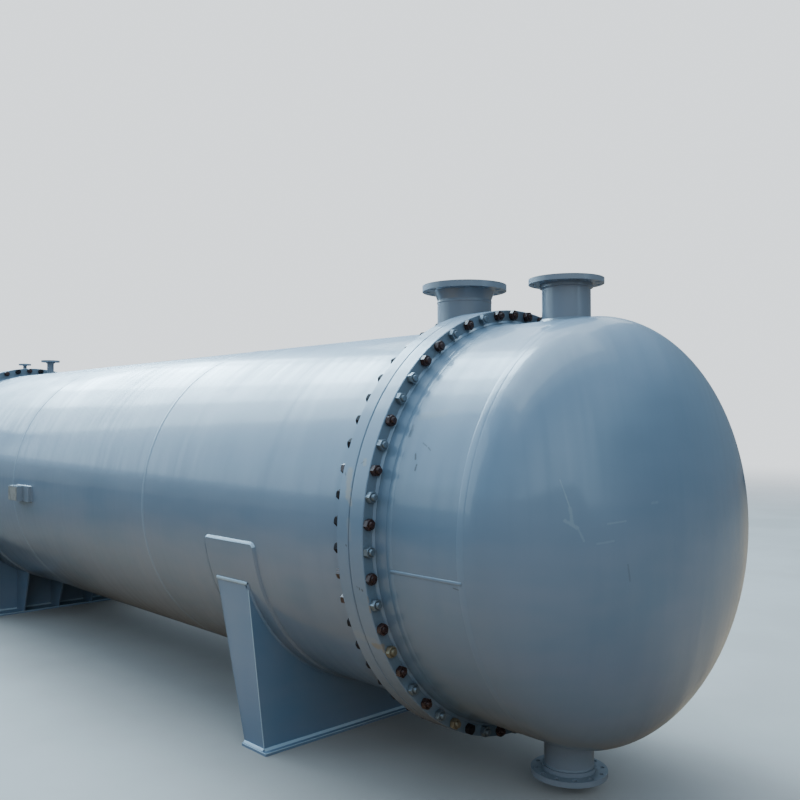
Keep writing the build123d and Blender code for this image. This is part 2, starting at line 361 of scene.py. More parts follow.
@dataclass
class Vessel:
    """The vessel's main sizes, in metres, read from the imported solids.

    Attributes:
        axis_height: Height of the vessel's axis.
        shell_radius: Outer radius of the shell, channels and heads.
        shell_end: Where the front tubesheet's inner face is.
        hub_start: Where the front flange's rim ends and its hub begins.
        barrel_start: Where the front channel's barrel begins.
        head_start: Where the front head begins.
        front_seam: The round weld between the front and middle courses.
        rear_seam: The round weld between the middle and rear courses.
        hub_rise: How far the hub's foot stands above the barrel.
        rim_thickness: Thickness of a channel flange's rim.
    """

    axis_height: float = 0.0
    shell_radius: float = 0.0
    shell_end: float = 0.0
    hub_start: float = 0.0
    barrel_start: float = 0.0
    head_start: float = 0.0
    front_seam: float = 0.0
    rear_seam: float = 0.0
    hub_rise: float = 0.012
    rim_thickness: float = 0.084

    def __post_init__(self) -> None:
        """Measures the solids."""
        low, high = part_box("shell_course_middle")
        self.axis_height = (low.z + high.z) / 2
        self.shell_radius = (high.z - low.z) / 2
        self.rear_seam, self.front_seam = low.x, high.x
        self.shell_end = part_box("tubesheet_front")[0].x
        low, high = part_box("channel_flange_front")
        self.hub_start, self.barrel_start = low.x + self.rim_thickness, high.x
        self.head_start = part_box("channel_barrel_front")[1].x

    def on_ring(self, x: float, radius: float, turn: float) -> Vector:
        """A point round the vessel's axis.

        Args:
            x: Place along the vessel.
            radius: Distance from its axis.
            turn: Angle in radians from the top towards the left side.

        Returns:
            The point.
        """
        return Vector((x, -radius * math.sin(turn), self.axis_height + radius * math.cos(turn)))

    def outward(self, turn: float) -> Vector:
        """The direction away from the axis at that angle."""
        return Vector((0.0, -math.sin(turn), math.cos(turn)))


# Finishes


@dataclass(frozen=True)
class Mark:
    """A rub, scuff or stain on the paint: a soft patch, drawn out along a line.

    Attributes:
        start: One end of the line, in metres.
        end: Its other end; the same as start for a round patch.
        radius: How far the mark reaches from the line.
        strength: How much it shows, from 0 to 1.
    """

    start: Place
    end: Place
    radius: float
    strength: float


SCRATCHES = (
    Mark((3.832, -0.709, 1.422), (3.862, -0.692, 1.324), 0.0040, 0.38),
    Mark((3.862, -0.692, 1.324), (3.870, -0.690, 1.268), 0.0100, 0.30),
    Mark((3.855, -0.712, 1.279), (3.881, -0.672, 1.253), 0.0090, 0.32),
    Mark((3.881, -0.672, 1.253), (3.893, -0.653, 1.207), 0.0070, 0.26),
    Mark((3.932, -0.561, 1.263), (3.959, -0.485, 1.269), 0.0045, 0.26),
    Mark((3.916, -0.606, 1.194), (3.943, -0.540, 1.201), 0.0055, 0.22),
    Mark((3.989, -0.355, 1.328), (3.994, -0.325, 1.330), 0.0070, 0.20),
    Mark((3.820, 0.690, 1.610), (3.850, 0.640, 1.560), 0.0070, 0.60),
    Mark((-3.870, 0.690, 1.270), (-3.900, 0.620, 1.330), 0.0080, 0.60),
    Mark((-3.960, -0.420, 1.010), (-3.975, -0.360, 1.000), 0.0060, 0.50),
    Mark((1.640, 0.800, 1.615), (1.640, 0.620, 1.845), 0.0140, 0.35),
    Mark((-1.660, 0.800, 1.615), (-1.655, 0.640, 1.825), 0.0140, 0.35),
    Mark((1.330, -0.540, 1.910), (1.330, -0.330, 2.025), 0.0120, 0.22),
)
SCUFFS = (
    Mark((3.250, -0.855, 1.503), (3.257, -0.862, 1.484), 0.0060, 0.75),
    Mark((3.271, -0.870, 1.461), (3.269, -0.876, 1.442), 0.0070, 0.75),
    Mark((3.274, -0.837, 1.546), (3.300, -0.842, 1.534), 0.0040, 0.50),
    Mark((3.310, -0.844, 1.530), (3.327, -0.846, 1.516), 0.0045, 0.60),
    Mark((3.180, -0.806, 1.608), (3.186, -0.822, 1.576), 0.0160, 0.45),
    Mark((3.496, -0.906, 1.020), (3.536, -0.906, 1.014), 0.0035, 0.60),
    Mark((3.963, -0.480, 1.111), (3.963, -0.468, 1.052), 0.0055, 0.24),
    Mark((3.030, -0.967, 0.972), (3.034, -0.966, 0.966), 0.0050, 0.85),
    Mark((3.045, -0.969, 0.966), (3.047, -0.968, 0.960), 0.0045, 0.85),
    Mark((3.060, -0.968, 0.961), (3.063, -0.967, 0.957), 0.0055, 0.85),
    Mark((2.986, -0.989, 1.134), (2.990, -0.989, 1.130), 0.0050, 0.70),
    Mark((3.030, -0.944, 1.462), (3.044, -0.941, 1.470), 0.0045, 0.50),
    Mark((2.944, -0.958, 1.420), (2.950, -0.960, 1.412), 0.0045, 0.50),
    Mark((2.960, 0.940, 1.478), (2.985, 0.930, 1.505), 0.0070, 0.65),
    Mark((-3.020, 0.968, 0.960), (-3.040, 0.966, 0.952), 0.0060, 0.70),
    Mark((1.870, -0.882, 0.760), (1.890, -0.881, 0.752), 0.0060, 0.40),
)
DUST_STAINS = (
    Mark((2.970, -0.958, 1.430), (2.985, -0.975, 1.330), 0.0230, 0.55),
    Mark((2.996, -0.978, 1.320), (3.006, -0.981, 1.298), 0.0160, 0.40),
    Mark((3.048, -0.941, 1.476), (3.052, -0.945, 1.462), 0.0150, 0.45),
    Mark((3.000, -0.988, 1.230), (3.010, -0.990, 1.160), 0.0180, 0.16),
    Mark((2.950, -0.900, 0.755), (3.060, -0.890, 0.735), 0.0300, 0.22),
    Mark((2.950, 0.900, 1.580), (3.070, 0.890, 1.600), 0.0300, 0.35),
    Mark((-2.960, 0.940, 0.860), (-3.060, 0.930, 0.850), 0.0300, 0.35),
    Mark((3.205, -0.780, 1.650), (3.330, -0.770, 1.665), 0.0260, 0.14),
)
RUST_STAINS = (
    Mark((3.040, -0.884, 0.722), (3.085, -0.884, 0.726), 0.0190, 0.50),
    Mark((3.087, -0.882, 0.722), (3.089, -0.874, 0.706), 0.0150, 0.50),
    Mark((3.086, -0.951, 0.895), (3.084, -0.945, 0.872), 0.0065, 0.45),
    Mark((3.087, -0.962, 0.935), (3.087, -0.955, 0.915), 0.0055, 0.30),
    Mark((3.087, 0.884, 0.730), (3.088, 0.872, 0.700), 0.0110, 0.45),
    Mark((-3.087, -0.872, 0.708), (-3.086, -0.884, 0.724), 0.0110, 0.50),
)


@dataclass(frozen=True)
class VesselPaint:
    """The blue-grey enamel on the whole vessel, with its dust, runs and rubs.

    Attributes:
        name: The material's name.
        base: The enamel's colour; lighter and darker are its extremes.
        dust: Dry dust, on top and low down.
        film: A warm tint on what leans downwards, painted bounce light from the brown ground.
        rub: Paint rubbed pale.
        scuff: Paint scuffed dark.
        grime: A darker, greyer tone on the flanges' faces.
        rust: Rust that ran from a nut.
        axis_height: Height of the vessel's axis.
        reach: The stretch along the vessel whose marks it shows; none where both ends are one.
        film_share: How much the film covers.
        rough: Roughness of the clean enamel.
        least_rough: The roughness that it never goes below.
        coat: Weight of the gloss coat.
    """

    name: str = "vessel_paint"
    base: Colour = (0.098, 0.156, 0.218)
    lighter: Colour = (0.115, 0.177, 0.242)
    darker: Colour = (0.082, 0.133, 0.189)
    dust: Colour = (0.27, 0.245, 0.20)
    film: Colour = (0.240, 0.185, 0.188)
    rub: Colour = (0.21, 0.28, 0.31)
    scuff: Colour = (0.030, 0.028, 0.030)
    grime: Colour = (0.060, 0.082, 0.096)
    rust: Colour = (0.21, 0.145, 0.070)
    axis_height: float = 1.168
    reach: tuple[float, float] = (0.0, 0.0)
    film_share: float = 0.22
    rough: float = 0.325
    least_rough: float = 0.28
    coat: float = 0.55

    def _marks(self, graph: Graph, place: Signal, marks: Sequence[Mark], ragged: Signal) -> Signal | float:
        """Joins the marks of one kind that lie within the finish's reach along the vessel into a mask.

        Args:
            graph: The material that they belong to.
            place: Where the surface is.
            marks: The marks.
            ragged: Noise that breaks up their edges.

        Returns:
            The mask, from 0 to 1.
        """
        mask: Signal | float = 0.0
        for mark in marks:
            if not self.reach[0] <= mark.start[0] <= self.reach[1]:
                continue
            line = Vector(mark.end) - Vector(mark.start)
            offset = graph.vector_math("SUBTRACT", {0: place, 1: mark.start})
            along = graph.dot(offset, tuple(line / max(line.length_squared, 1e-9))).clamped()
            nearest = graph.scaled(tuple(line), along)
            away = graph.distance(offset, nearest) / mark.radius + (ragged - 0.5) * 1.5
            one = graph.step(away, 1.0, 0.35) * mark.strength
            mask = mask.larger(one) if isinstance(mask, Signal) else one
        return mask

    def _streaks(self, graph: Graph, spots: PaintPlaces, stretch: Sequence[float]) -> Signal:
        """Streaks that follow the sheet on the barrel and hang straight elsewhere.

        Args:
            graph: The material that they belong to.
            spots: Where the surface is, seen in several ways.
            stretch: Streaks per metre each way.

        Returns:
            The streaks, from 0 to 1.
        """
        round_barrel = graph.noise(graph.stretched(spots.wall, stretch), 1.0, 1.5, 0.5)
        hanging = graph.noise(graph.stretched(spots.face, stretch), 1.0, 1.5, 0.5)
        return round_barrel * spots.on_wall + hanging * (1.0 - spots.on_wall)

    def material(self) -> bpy.types.Material:
        """Builds the enamel."""
        graph = Graph(self.name)
        place = graph.place()
        x, y, z = graph.parts(place)
        ahead, _, up = graph.parts(graph.facing())
        spots = PaintPlaces.read(graph, x, y, z, self.axis_height)

        # cloudy patches, passes of the spray gun, runs, and the grain of the enamel
        clouds = graph.noise(place, 1.7, 3.0, 0.45)
        passes = self._streaks(graph, spots, (2.2, 9.0, 1.0))
        runs = self._streaks(graph, spots, (19.0, 1.2, 1.0))
        grain = graph.noise(place, 120.0, 3.0, 0.6)
        specks = graph.step(graph.noise(place, 46.0, 2.0, 0.7), 0.71, 0.80)

        colour = graph.blend(self.darker, self.lighter, graph.step(clouds * 0.7 + passes * 0.3, 0.30, 0.70))
        colour = graph.blend(colour, self.base, 0.50)
        colour = graph.blend(colour, self.darker, graph.step(runs, 0.52, 0.74) * 0.22)

        # dust on what faces up and near the floor, and painted warm bounce light from the ground on what
        # leans down
        dusty = graph.step(up, 0.25, 0.95) * graph.step(clouds + grain * 0.25, 0.42, 0.78)
        low_dust = graph.step(z, 0.40, 0.0) * graph.step(clouds + grain * 0.3, 0.40, 0.90)
        colour = graph.blend(colour, self.dust, dusty * 0.06 + low_dust * 0.16)
        film = graph.step(clouds * 0.6 + passes * 0.4, 0.24, 0.62) * graph.step(up, 0.35, -0.25)
        colour = graph.blend(colour, self.dust, specks * 0.05)
        colour = graph.blend(colour, self.film, film * self.film_share)

        # a darker, greyer tone in clouds on the flanges' faces
        if self.reach[1] != self.reach[0]:
            face = graph.step(abs(ahead), 0.80, 0.95) * graph.step(spots.radius, 0.930, 0.938)
            face_darkening = 0.30 + graph.step(clouds + grain * 0.3, 0.45, 0.80) * 0.35
            colour = graph.blend(colour, self.grime, face * face_darkening)

        ragged = graph.noise(place, 52.0, 4.0, 0.7)
        rubs = self._marks(graph, place, SCRATCHES, ragged)
        stains = self._marks(graph, place, DUST_STAINS, ragged)
        rust = self._marks(graph, place, RUST_STAINS, ragged)
        scuffs = self._marks(graph, place, SCUFFS, ragged)
        for finish, mask in ((self.rub, rubs), (self.dust, stains), (self.rust, rust), (self.scuff, scuffs)):
            if isinstance(mask, Signal):
                colour = graph.blend(colour, finish, mask)

        # gloss
        dull = (clouds - 0.5) * 0.13 + (passes - 0.5) * 0.10 + dusty * 0.12 + low_dust * 0.30
        worn = rubs * 0.20 + stains * 0.25 + rust * 0.30 + scuffs * 0.20
        coat = (self.coat - dull * 1.6 - (runs - 0.5) * 0.85 - worn * 1.5).clamped()

        # plates that are a little wavy, under a sprayed skin
        normal = graph.bump(graph.noise(place, 1.9, 2.0, 0.5), 0.0050)
        normal = graph.bump(graph.noise(place, 9.0, 2.0, 0.5), 0.0003, normal)
        normal = graph.bump(graph.noise(place, 64.0, 3.0, 0.6) * 0.6 + grain * 0.4, 0.00009, normal)
        return graph.surface(
            Base_Color=colour, Roughness=(self.rough + dull + worn).larger(self.least_rough), Normal=normal,
            IOR=1.45, Coat_Weight=coat, Coat_Roughness=0.10,
        )


@dataclass(frozen=True)
class PaintPlaces:
    """Where a painted surface is: on the rolled plates, or on a head, saddle or nozzle.

    Attributes:
        wall: Place along and round the vessel.
        face: Place seen along the vessel, with its height.
        on_wall: 1 on the rolled plates and 0 elsewhere.
        radius: Distance from the vessel's axis.
    """

    wall: Signal
    face: Signal
    on_wall: Signal
    radius: Signal

    @staticmethod
    def read(graph: Graph, x: Signal, y: Signal, z: Signal, axis_height: float) -> PaintPlaces:
        """Works the places out.

        Args:
            graph: The paint's graph.
            x: Place along the vessel.
            y: Place across it.
            z: Height.
            axis_height: Height of the vessel's axis.

        Returns:
            The places.
        """
        rise = z - axis_height
        turn = graph.math("ARCTAN2", y, rise)
        radius = graph.math("SQRT", y * y + rise * rise)
        near = graph.step(radius, 1.02, 0.99)
        on_wall = near * (1.0 - graph.step(abs(x), 3.58, 3.80))
        return PaintPlaces(graph.joined(x, turn, 0.0), graph.joined(y + x * 0.7, z, 4.0), on_wall, radius)


@dataclass(frozen=True)
class FastenerSteel:
    """The steel of nuts and studs, from bright zinc to rusty brown.

    Attributes:
        name: The material's name.
        base: Its sound colour.
        worn: Its colour where it is worn or rusty.
        metal: How metallic the sound steel is.
        rough: Roughness of the sound steel.
        shine: Strength of its gloss.
        worn_share: How much of it is worn.
    """

    name: str
    base: Colour
    worn: Colour
    metal: float
    rough: float
    shine: float = 0.5
    worn_share: float = 0.35

    def material(self) -> bpy.types.Material:
        """Builds the steel."""
        graph = Graph(self.name)
        place = graph.place()
        patches = graph.noise(place, 95.0, 4.0, 0.65)
        fine = graph.noise(place, 620.0, 3.0, 0.6)
        sound = 1.0 - self.worn_share
        worn = graph.step(patches + (fine - 0.5) * 0.3, sound - 0.16, sound + 0.10)
        colour = graph.blend(self.base, self.worn, worn)
        rough = self.rough + worn * 0.25 + (fine - 0.5) * 0.14
        metal = self.metal * (1.0 - worn * 0.7)
        normal = graph.bump(patches * 0.5 + fine * 0.5, 0.0006)
        return graph.surface(
            Base_Color=colour, Roughness=rough.clamped(), Metallic=metal, Normal=normal,
            Specular_IOR_Level=self.shine,
        )


BROWN_NUTS = FastenerSteel("brown_nuts", (0.030, 0.015, 0.014), (0.075, 0.030, 0.020), 0.30, 0.24)
ZINC_NUTS = FastenerSteel("zinc_nuts", (0.17, 0.205, 0.235), (0.075, 0.088, 0.098), 0.80, 0.34)
YELLOW_NUTS = FastenerSteel("yellow_nuts", (0.17, 0.145, 0.095), (0.12, 0.075, 0.040), 0.55, 0.42)
BLACK_NUTS = FastenerSteel("black_nuts", (0.012, 0.011, 0.013), (0.030, 0.020, 0.017), 0.05, 0.7, 0.1)
NUT_STEELS = {
    NutFinish.BROWN: BROWN_NUTS,
    NutFinish.ZINC: ZINC_NUTS,
    NutFinish.YELLOW: YELLOW_NUTS,
    NutFinish.BLACK: BLACK_NUTS,
}


@dataclass(frozen=True)
class GasketEdge:
    """The dark edge of a spiral wound gasket.

    Attributes:
        name: The material's name.
        base: Colour of its metal windings.
        filler: Colour of the filler between them.
    """

    name: str = "gasket_edge"
    base: Colour = (0.018, 0.018, 0.020)
    filler: Colour = (0.06, 0.058, 0.055)

    def material(self) -> bpy.types.Material:
        """Builds the gasket's edge."""
        graph = Graph(self.name)
        place = graph.place()
        patches = graph.noise(place, 60.0, 4.0, 0.6)
        colour = graph.blend(self.base, self.filler, graph.step(patches, 0.45, 0.75))
        normal = graph.bump(graph.noise(place, 400.0, 3.0, 0.6), 0.0004)
        return graph.surface(Base_Color=colour, Roughness=0.62 + patches * 0.2, Normal=normal)


@dataclass(frozen=True)
class NameplateSteel:
    """The bare etched face of the nameplate, dulled by the weather.

    Attributes:
        name: The material's name.
        base: Its colour.
        dull: Its colour where the weather dulled it.
    """

    name: str = "nameplate_steel"
    base: Colour = (0.30, 0.285, 0.26)
    dull: Colour = (0.19, 0.18, 0.165)

    def material(self) -> bpy.types.Material:
        """Builds the plate's face."""
        graph = Graph(self.name)
        place = graph.place()
        brushed = graph.noise(graph.stretched(place, (14.0, 90.0, 900.0)), 1.0, 3.0, 0.6)
        patches = graph.noise(place, 22.0, 4.0, 0.6)
        colour = graph.blend(self.base, self.dull, graph.step(patches + brushed * 0.3, 0.50, 0.85))
        rough = 0.34 + patches * 0.22 + (brushed - 0.5) * 0.16
        normal = graph.bump(brushed, 0.00012)
        return graph.surface(Base_Color=colour, Roughness=rough.clamped(), Metallic=0.45, Normal=normal)


@dataclass(frozen=True)
class StudioFloor:
    """The pale floor that the vessel stands on, which fades out far away.

    Attributes:
        name: The material's name.
        base: Its colour.
        shade: Its colour in faint darker clouds.
        fade_start: Distance from the middle where it begins to fade.
        fade_end: Distance where it is gone.
    """

    name: str = "studio_floor"
    base: Colour = (0.33, 0.315, 0.295)
    shade: Colour = (0.30, 0.285, 0.265)
    fade_start: float = 8.0
    fade_end: float = 32.0

    def material(self) -> bpy.types.Material:
        """Builds the floor."""
        graph = Graph(self.name)
        place = graph.place()
        clouds = graph.noise(place, 0.8, 4.0, 0.55)
        colour = graph.blend(self.shade, self.base, graph.step(clouds, 0.35, 0.65))
        far = graph.step(graph.distance(place, (0.0, 0.0, 0.0)), self.fade_start, self.fade_end)
        normal = graph.bump(graph.noise(place, 90.0, 3.0, 0.6), 0.0006)
        return graph.surface(
            Base_Color=colour, Roughness=0.85 + (clouds - 0.5) * 0.1, Normal=normal, Alpha=1.0 - far
        )


@dataclass(frozen=True)
class StudioGround:
    """The darker ground under the pale floor, which only the vessel's paint mirrors.

    Attributes:
        name: The material's name.
        base: Its colour beside the vessel.
        shade: Its colour in faint darker clouds.
        rear: Its colour towards the rear.
        ahead: Its colour ahead of the front head.
    """

    name: str = "studio_ground"
    base: Colour = (0.262, 0.166, 0.093)
    shade: Colour = (0.225, 0.147, 0.086)
    rear: Colour = (0.028, 0.023, 0.019)
    ahead: Colour = (0.222, 0.168, 0.125)

    def material(self) -> bpy.types.Material:
        """Builds the ground."""
        graph = Graph(self.name)
        place = graph.place()
        clouds = graph.noise(place, 0.6, 3.0, 0.5)
        colour = graph.blend(self.shade, self.base, graph.step(clouds, 0.35, 0.65))
        along = graph.parts(place)[0]
        # darker towards the rear, standing in for the shadows and dark surroundings that the paint mirrors
        # there
        colour = graph.blend(colour, self.rear, graph.step(along, 0.8, -5.0))
        colour = graph.blend(colour, self.ahead, graph.step(along, 2.5, 6.0))
        return graph.surface(Base_Color=colour, Roughness=0.95)


@dataclass(frozen=True)
class StudioPaper:
    """The plain pale paper behind and around the studio."""

    name: str = "studio_paper"
    glow: Colour = (1.50, 1.60, 1.68)

    def material(self) -> bpy.types.Material:
        """Builds the paper."""
        graph = Graph(self.name)
        return graph.surface(
            Base_Color=(0.0, 0.0, 0.0), Roughness=1.0, Emission_Color=self.glow, Emission_Strength=1.0
        )


# Meshes


@dataclass
class Draft:
    """The corners and faces of one piece while it is being built.

    Attributes:
        points: The corners.
        faces: The corners' numbers round each face.
        finishes: Each face's place in the piece's list of materials.
    """

    points: list[Vector] = field(default_factory=list)
    faces: list[tuple[int, ...]] = field(default_factory=list)
    finishes: list[int] = field(default_factory=list)

    def strip(self, rows: Sequence[Sequence[Vector]], ring: bool, loop: bool, finish: int = 0) -> None:
        """Skins rows of points with four-sided faces.

        Args:
            rows: The rows, all of one length.
            ring: Whether each row closes on itself.
            loop: Whether the last row joins the first.
            finish: The material of these faces.
        """
        base, width = len(self.points), len(rows[0])
        for row in rows:
            self.points.extend(row)
        for i in range(len(rows) if loop else len(rows) - 1):
            here, there = base + i * width, base + (i + 1) % len(rows) * width
            for k in range(width if ring else width - 1):
                m = (k + 1) % width
                self.faces.append((here + k, here + m, there + m, there + k))
                self.finishes.append(finish)

    def turned(self, frame: Matrix, profile: Sequence[tuple[float, float]], count: int,
               finish: int = 0) -> None:
        """Turns a profile round a frame's Z axis, from its first to its last point.

        Args:
            frame: Where the axis is.
            profile: Height and radius of each ring.
            count: Faces in a ring.
            finish: The material of these faces.
        """
        angles = [2 * math.pi * k / count for k in range(count)]
        rows = [
            [frame @ Vector((radius * math.cos(a), radius * math.sin(a), height)) for a in angles]
            for height, radius in profile
        ]
        self.strip(rows, ring=True, loop=False, finish=finish)

    def piece(self, name: str, finishes: Sequence[bpy.types.Material], slot: str,
              sharp: float = 35.0) -> bpy.types.Object:
        """Turns the draft into an object that rides on the vessel.

        Args:
            name: The piece's name.
            finishes: Its materials, in the order of the face numbers.
            slot: The record's material slot that it belongs to; not used.
            sharp: Edges bent by more degrees than this stay sharp.

        Returns:
            The object.
        """
        mesh = bpy.data.meshes.new(name)
        mesh.from_pydata([tuple(p) for p in self.points], [], self.faces)
        for material in finishes:
            mesh.materials.append(material)
        mesh.polygons.foreach_set("material_index", self.finishes)
        mesh.polygons.foreach_set("use_smooth", [True] * len(self.faces))
        mesh.validate()
        mesh.set_sharp_from_angle(angle=math.radians(sharp))
        made = bpy.data.objects.new(name, mesh)
        bpy.context.scene.collection.objects.link(made)
        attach(made, ROOT)
        LOG.info("%s: %d faces", name, len(self.faces))
        return made


def frame_along(origin: Vector, direction: Vector, turn: float = 0.0) -> Matrix:
    """A frame whose Z axis leaves a point in a direction.

    Args:
        origin: The frame's origin.
        direction: Its Z axis.
        turn: Rotation about that axis, in radians.

    Returns:
        The frame as a matrix.
    """
    swing = direction.to_track_quat("Z", "Y").to_matrix().to_4x4()
    return Matrix.Translation(origin) @ swing @ Matrix.Rotation(turn, 4, "Z")


@dataclass
class WeldBead:
    """Weld metal laid along a line, with the ripples and wander of hand work.

    Attributes:
        ripple: Height of every second ripple.
        wander: How much the bead's width changes along the line.
        seed: Starts the random draws.
    """

    ripple: float = 0.00035
    wander: float = 0.06
    seed: int = 7

    def _drifts(self, draft: Draft, count: int) -> list[float]:
        """How the hand drifts from the line, from -1 to 1.

        Args:
            draft: The piece that the bead is added to.
            count: Points on the line.

        Returns:
            The drift at each point.
        """
        dice, drift, drifts = random.Random(self.seed + len(draft.points)), 0.0, []
        for _ in range(count):
            drift = 0.85 * drift + 0.15 * dice.uniform(-1, 1)
            drifts.append(drift)
        return drifts

    def cap_run(self, draft: Draft, line: Run, width: float, height: float, closed: bool) -> None:
        """Lays a low crowned bead on a surface.

        Args:
            draft: The piece it is added to.
            line: Points with their sideways and outward directions.
            width: The bead's width.
            height: How far it stands out.
            closed: Whether the line ends where it began.
        """
        half = [(0.30, 0.78), (0.46, 0.30), (0.5, -0.08)]
        shape = [(-a, b) for a, b in reversed(half)] + [(0.0, 1.0)] + half
        rows, drifts = [], self._drifts(draft, len(line))
        for number, ((point, sideways, outward), drift) in enumerate(zip(line, drifts)):
            swell = 1.0 + self.wander * drift * 2
            rise = height * (1.0 + 0.25 * drift) + self.ripple * (number % 2)
            rows.append([point + sideways * (a * width * swell) + outward * (b * rise) for a, b in shape])
        draft.strip(rows, ring=False, loop=closed)

    def corner_run(self, draft: Draft, line: Run, leg: float, closed: bool) -> None:
        """Lays a fillet into the corner between two surfaces.

        Args:
            draft: The piece it is added to.
            line: Corner points with a direction along each surface, away from the corner.
            leg: The fillet's leg length.
            closed: Whether the line ends where it began.
        """
        shape = [(1.0, -0.06), (0.82, 0.22), (0.52, 0.52), (0.22, 0.82), (-0.06, 1.0)]
        rows, drifts = [], self._drifts(draft, len(line))
        for number, ((point, first, second), drift) in enumerate(zip(line, drifts)):
            size = leg * (1.0 + self.wander * drift * 2) + self.ripple * (number % 2)
            rows.append([point + first * (a * size) + second * (b * size) for a, b in shape])
        draft.strip(rows, ring=False, loop=closed)

    def edge_run(self, draft: Draft, line: Run, radius: float) -> None:
        """Rounds an outside edge with a thin layer of paint and ground metal.

        Args:
            draft: The piece it is added to.
            line: Points on the edge with the outward direction of each face beside it.
            radius: The round's radius.
        """
        sink, rows = 0.5 * radius, []
        for point, first, second in line:
            centre = point - (first + second) * sink
            angles = (math.radians(a) for a in (-18, 0, 22, 45, 68, 90, 108))
            rows.append([centre + (first * math.cos(a) + second * math.sin(a)) * radius for a in angles])
        draft.strip(rows, ring=False, loop=False)


def straight(start: Vector, end: Vector, step: float) -> list[Vector]:
    """Points along a straight line, about a step apart."""
    count = max(1, int((end - start).length / step))
    return [start.lerp(end, k / count) for k in range(count + 1)]


# The vessel's own pieces


@dataclass
class Casing:
    """The shell, channels and heads with the welds that join their plates.

    Attributes:
        vessel: The vessel's sizes.
        paint: The welds' paint, a little lighter than the body paint as a painted highlight on the beads.
        seam_paint: The paint on the welds between the courses, lighter still as a painted highlight on their
            crowns.
        cap_width: Width of a round weld.
        cap_height: How far it stands out.
        low_cap: Width and height of the ground welds beside the barrels.
        long_cap: Width and height of the courses' lengthwise welds.
        channel_cap: Width and height of the channels' lengthwise welds.
        steps: Points round a round weld.
        long_step: Distance between points of a lengthwise weld.
        course_turns: Where the courses' lengthwise welds are, from front to rear.
        channel_turn: Where the front channel's lengthwise weld is.
        foot_leg: Leg of the fillet at a hub's foot.
    """

    vessel: Vessel
    paint: bpy.types.Material
    seam_paint: bpy.types.Material
    cap_width: float = 0.024
    cap_height: float = 0.0020
    low_cap: tuple[float, float] = (0.0336, 0.00072)
    long_cap: tuple[float, float] = (0.024, 0.0015)
    channel_cap: tuple[float, float] = (0.015, 0.0024)
    steps: int = 360
    long_step: float = 0.012
    course_turns: tuple[float, float, float] = (-2.05, 2.75, -1.85)
    channel_turn: float = math.pi - math.radians(81.9)
    foot_leg: float = 0.009

    def _ring(self, x: float, radius: float, way: int = 1) -> Run:
        """The line of a round weld.

        Args:
            x: Place along the vessel.
            radius: The line's radius.
            way: Its sideways direction, as a sign along the vessel.

        Returns:
            Its points, each with its sideways and outward directions.
        """
        vessel, across = self.vessel, Vector((way, 0, 0))
        turns = [2 * math.pi * k / self.steps for k in range(self.steps)]
        return [(vessel.on_ring(x, radius, turn), across, vessel.outward(turn)) for turn in turns]

    def round_welds(self) -> None:
        """Lays the welds between the courses, and to the tubesheets, hubs and heads."""
        vessel, bead = self.vessel, WeldBead()
        places = {"seam_weld_front": vessel.front_seam, "seam_weld_rear": vessel.rear_seam}
        low_caps = {}
        for end in End:
            places[f"tubesheet_weld_{end.word}"] = end.value * (vessel.shell_end - 0.004)
            low_caps[f"hub_weld_{end.word}"] = end.value * vessel.barrel_start
            low_caps[f"head_weld_{end.word}"] = end.value * vessel.head_start
        for name, x in {**places, **low_caps}.items():
            width, height = self.low_cap if name in low_caps else (self.cap_width, self.cap_height)
            draft = Draft()
            bead.cap_run(draft, self._ring(x, vessel.shell_radius), width, height, True)
            # the seams take the lighter paint, a painted highlight on their crowns
            paint = self.seam_paint if name.startswith("seam") else self.paint
            draft.piece(name, [paint], "vessel_paint")

    def hub_feet(self) -> None:
        """Lays the fillet at the foot of each flange's hub."""
        vessel = self.vessel
        for end in End:
            line = self._ring(end.value * vessel.hub_start, vessel.shell_radius + vessel.hub_rise, end.value)
            draft = Draft()
            WeldBead(seed=23).corner_run(draft, line, self.foot_leg, True)
            draft.piece(f"hub_foot_{end.word}", [self.paint], "vessel_paint")

    def long_welds(self) -> None:
        """Lays the lengthwise welds of the courses and of both channels."""
        vessel, bead = self.vessel, WeldBead(seed=19)
        spans = [
            ("long_weld_front", vessel.front_seam, vessel.shell_end, self.course_turns[0]),
            ("long_weld_middle", vessel.rear_seam, vessel.front_seam, self.course_turns[1]),
            ("long_weld_rear", -vessel.shell_end, vessel.rear_seam, self.course_turns[2]),
            ("channel_long_weld_front", vessel.barrel_start, vessel.head_start, self.channel_turn),
            ("channel_long_weld_rear", -vessel.head_start, -vessel.barrel_start, -self.channel_turn),
        ]
        for name, start, end, turn in spans:
            count = max(2, int((end - start) / self.long_step))
            sideways = Vector((0.0, -math.cos(turn), -math.sin(turn)))
            line = []
            for k in range(count + 1):
                point = vessel.on_ring(start + (end - start) * k / count, vessel.shell_radius, turn)
                line.append((point, sideways, vessel.outward(turn)))
            draft = Draft()
            width, height = self.channel_cap if name.startswith("channel") else self.long_cap
            bead.cap_run(draft, line, width, height, False)
            draft.piece(name, [self.paint], "vessel_paint")

    def build(self) -> None:
        """Builds the welds of the casing."""
        self.round_welds()
        self.hub_feet()
        self.long_welds()


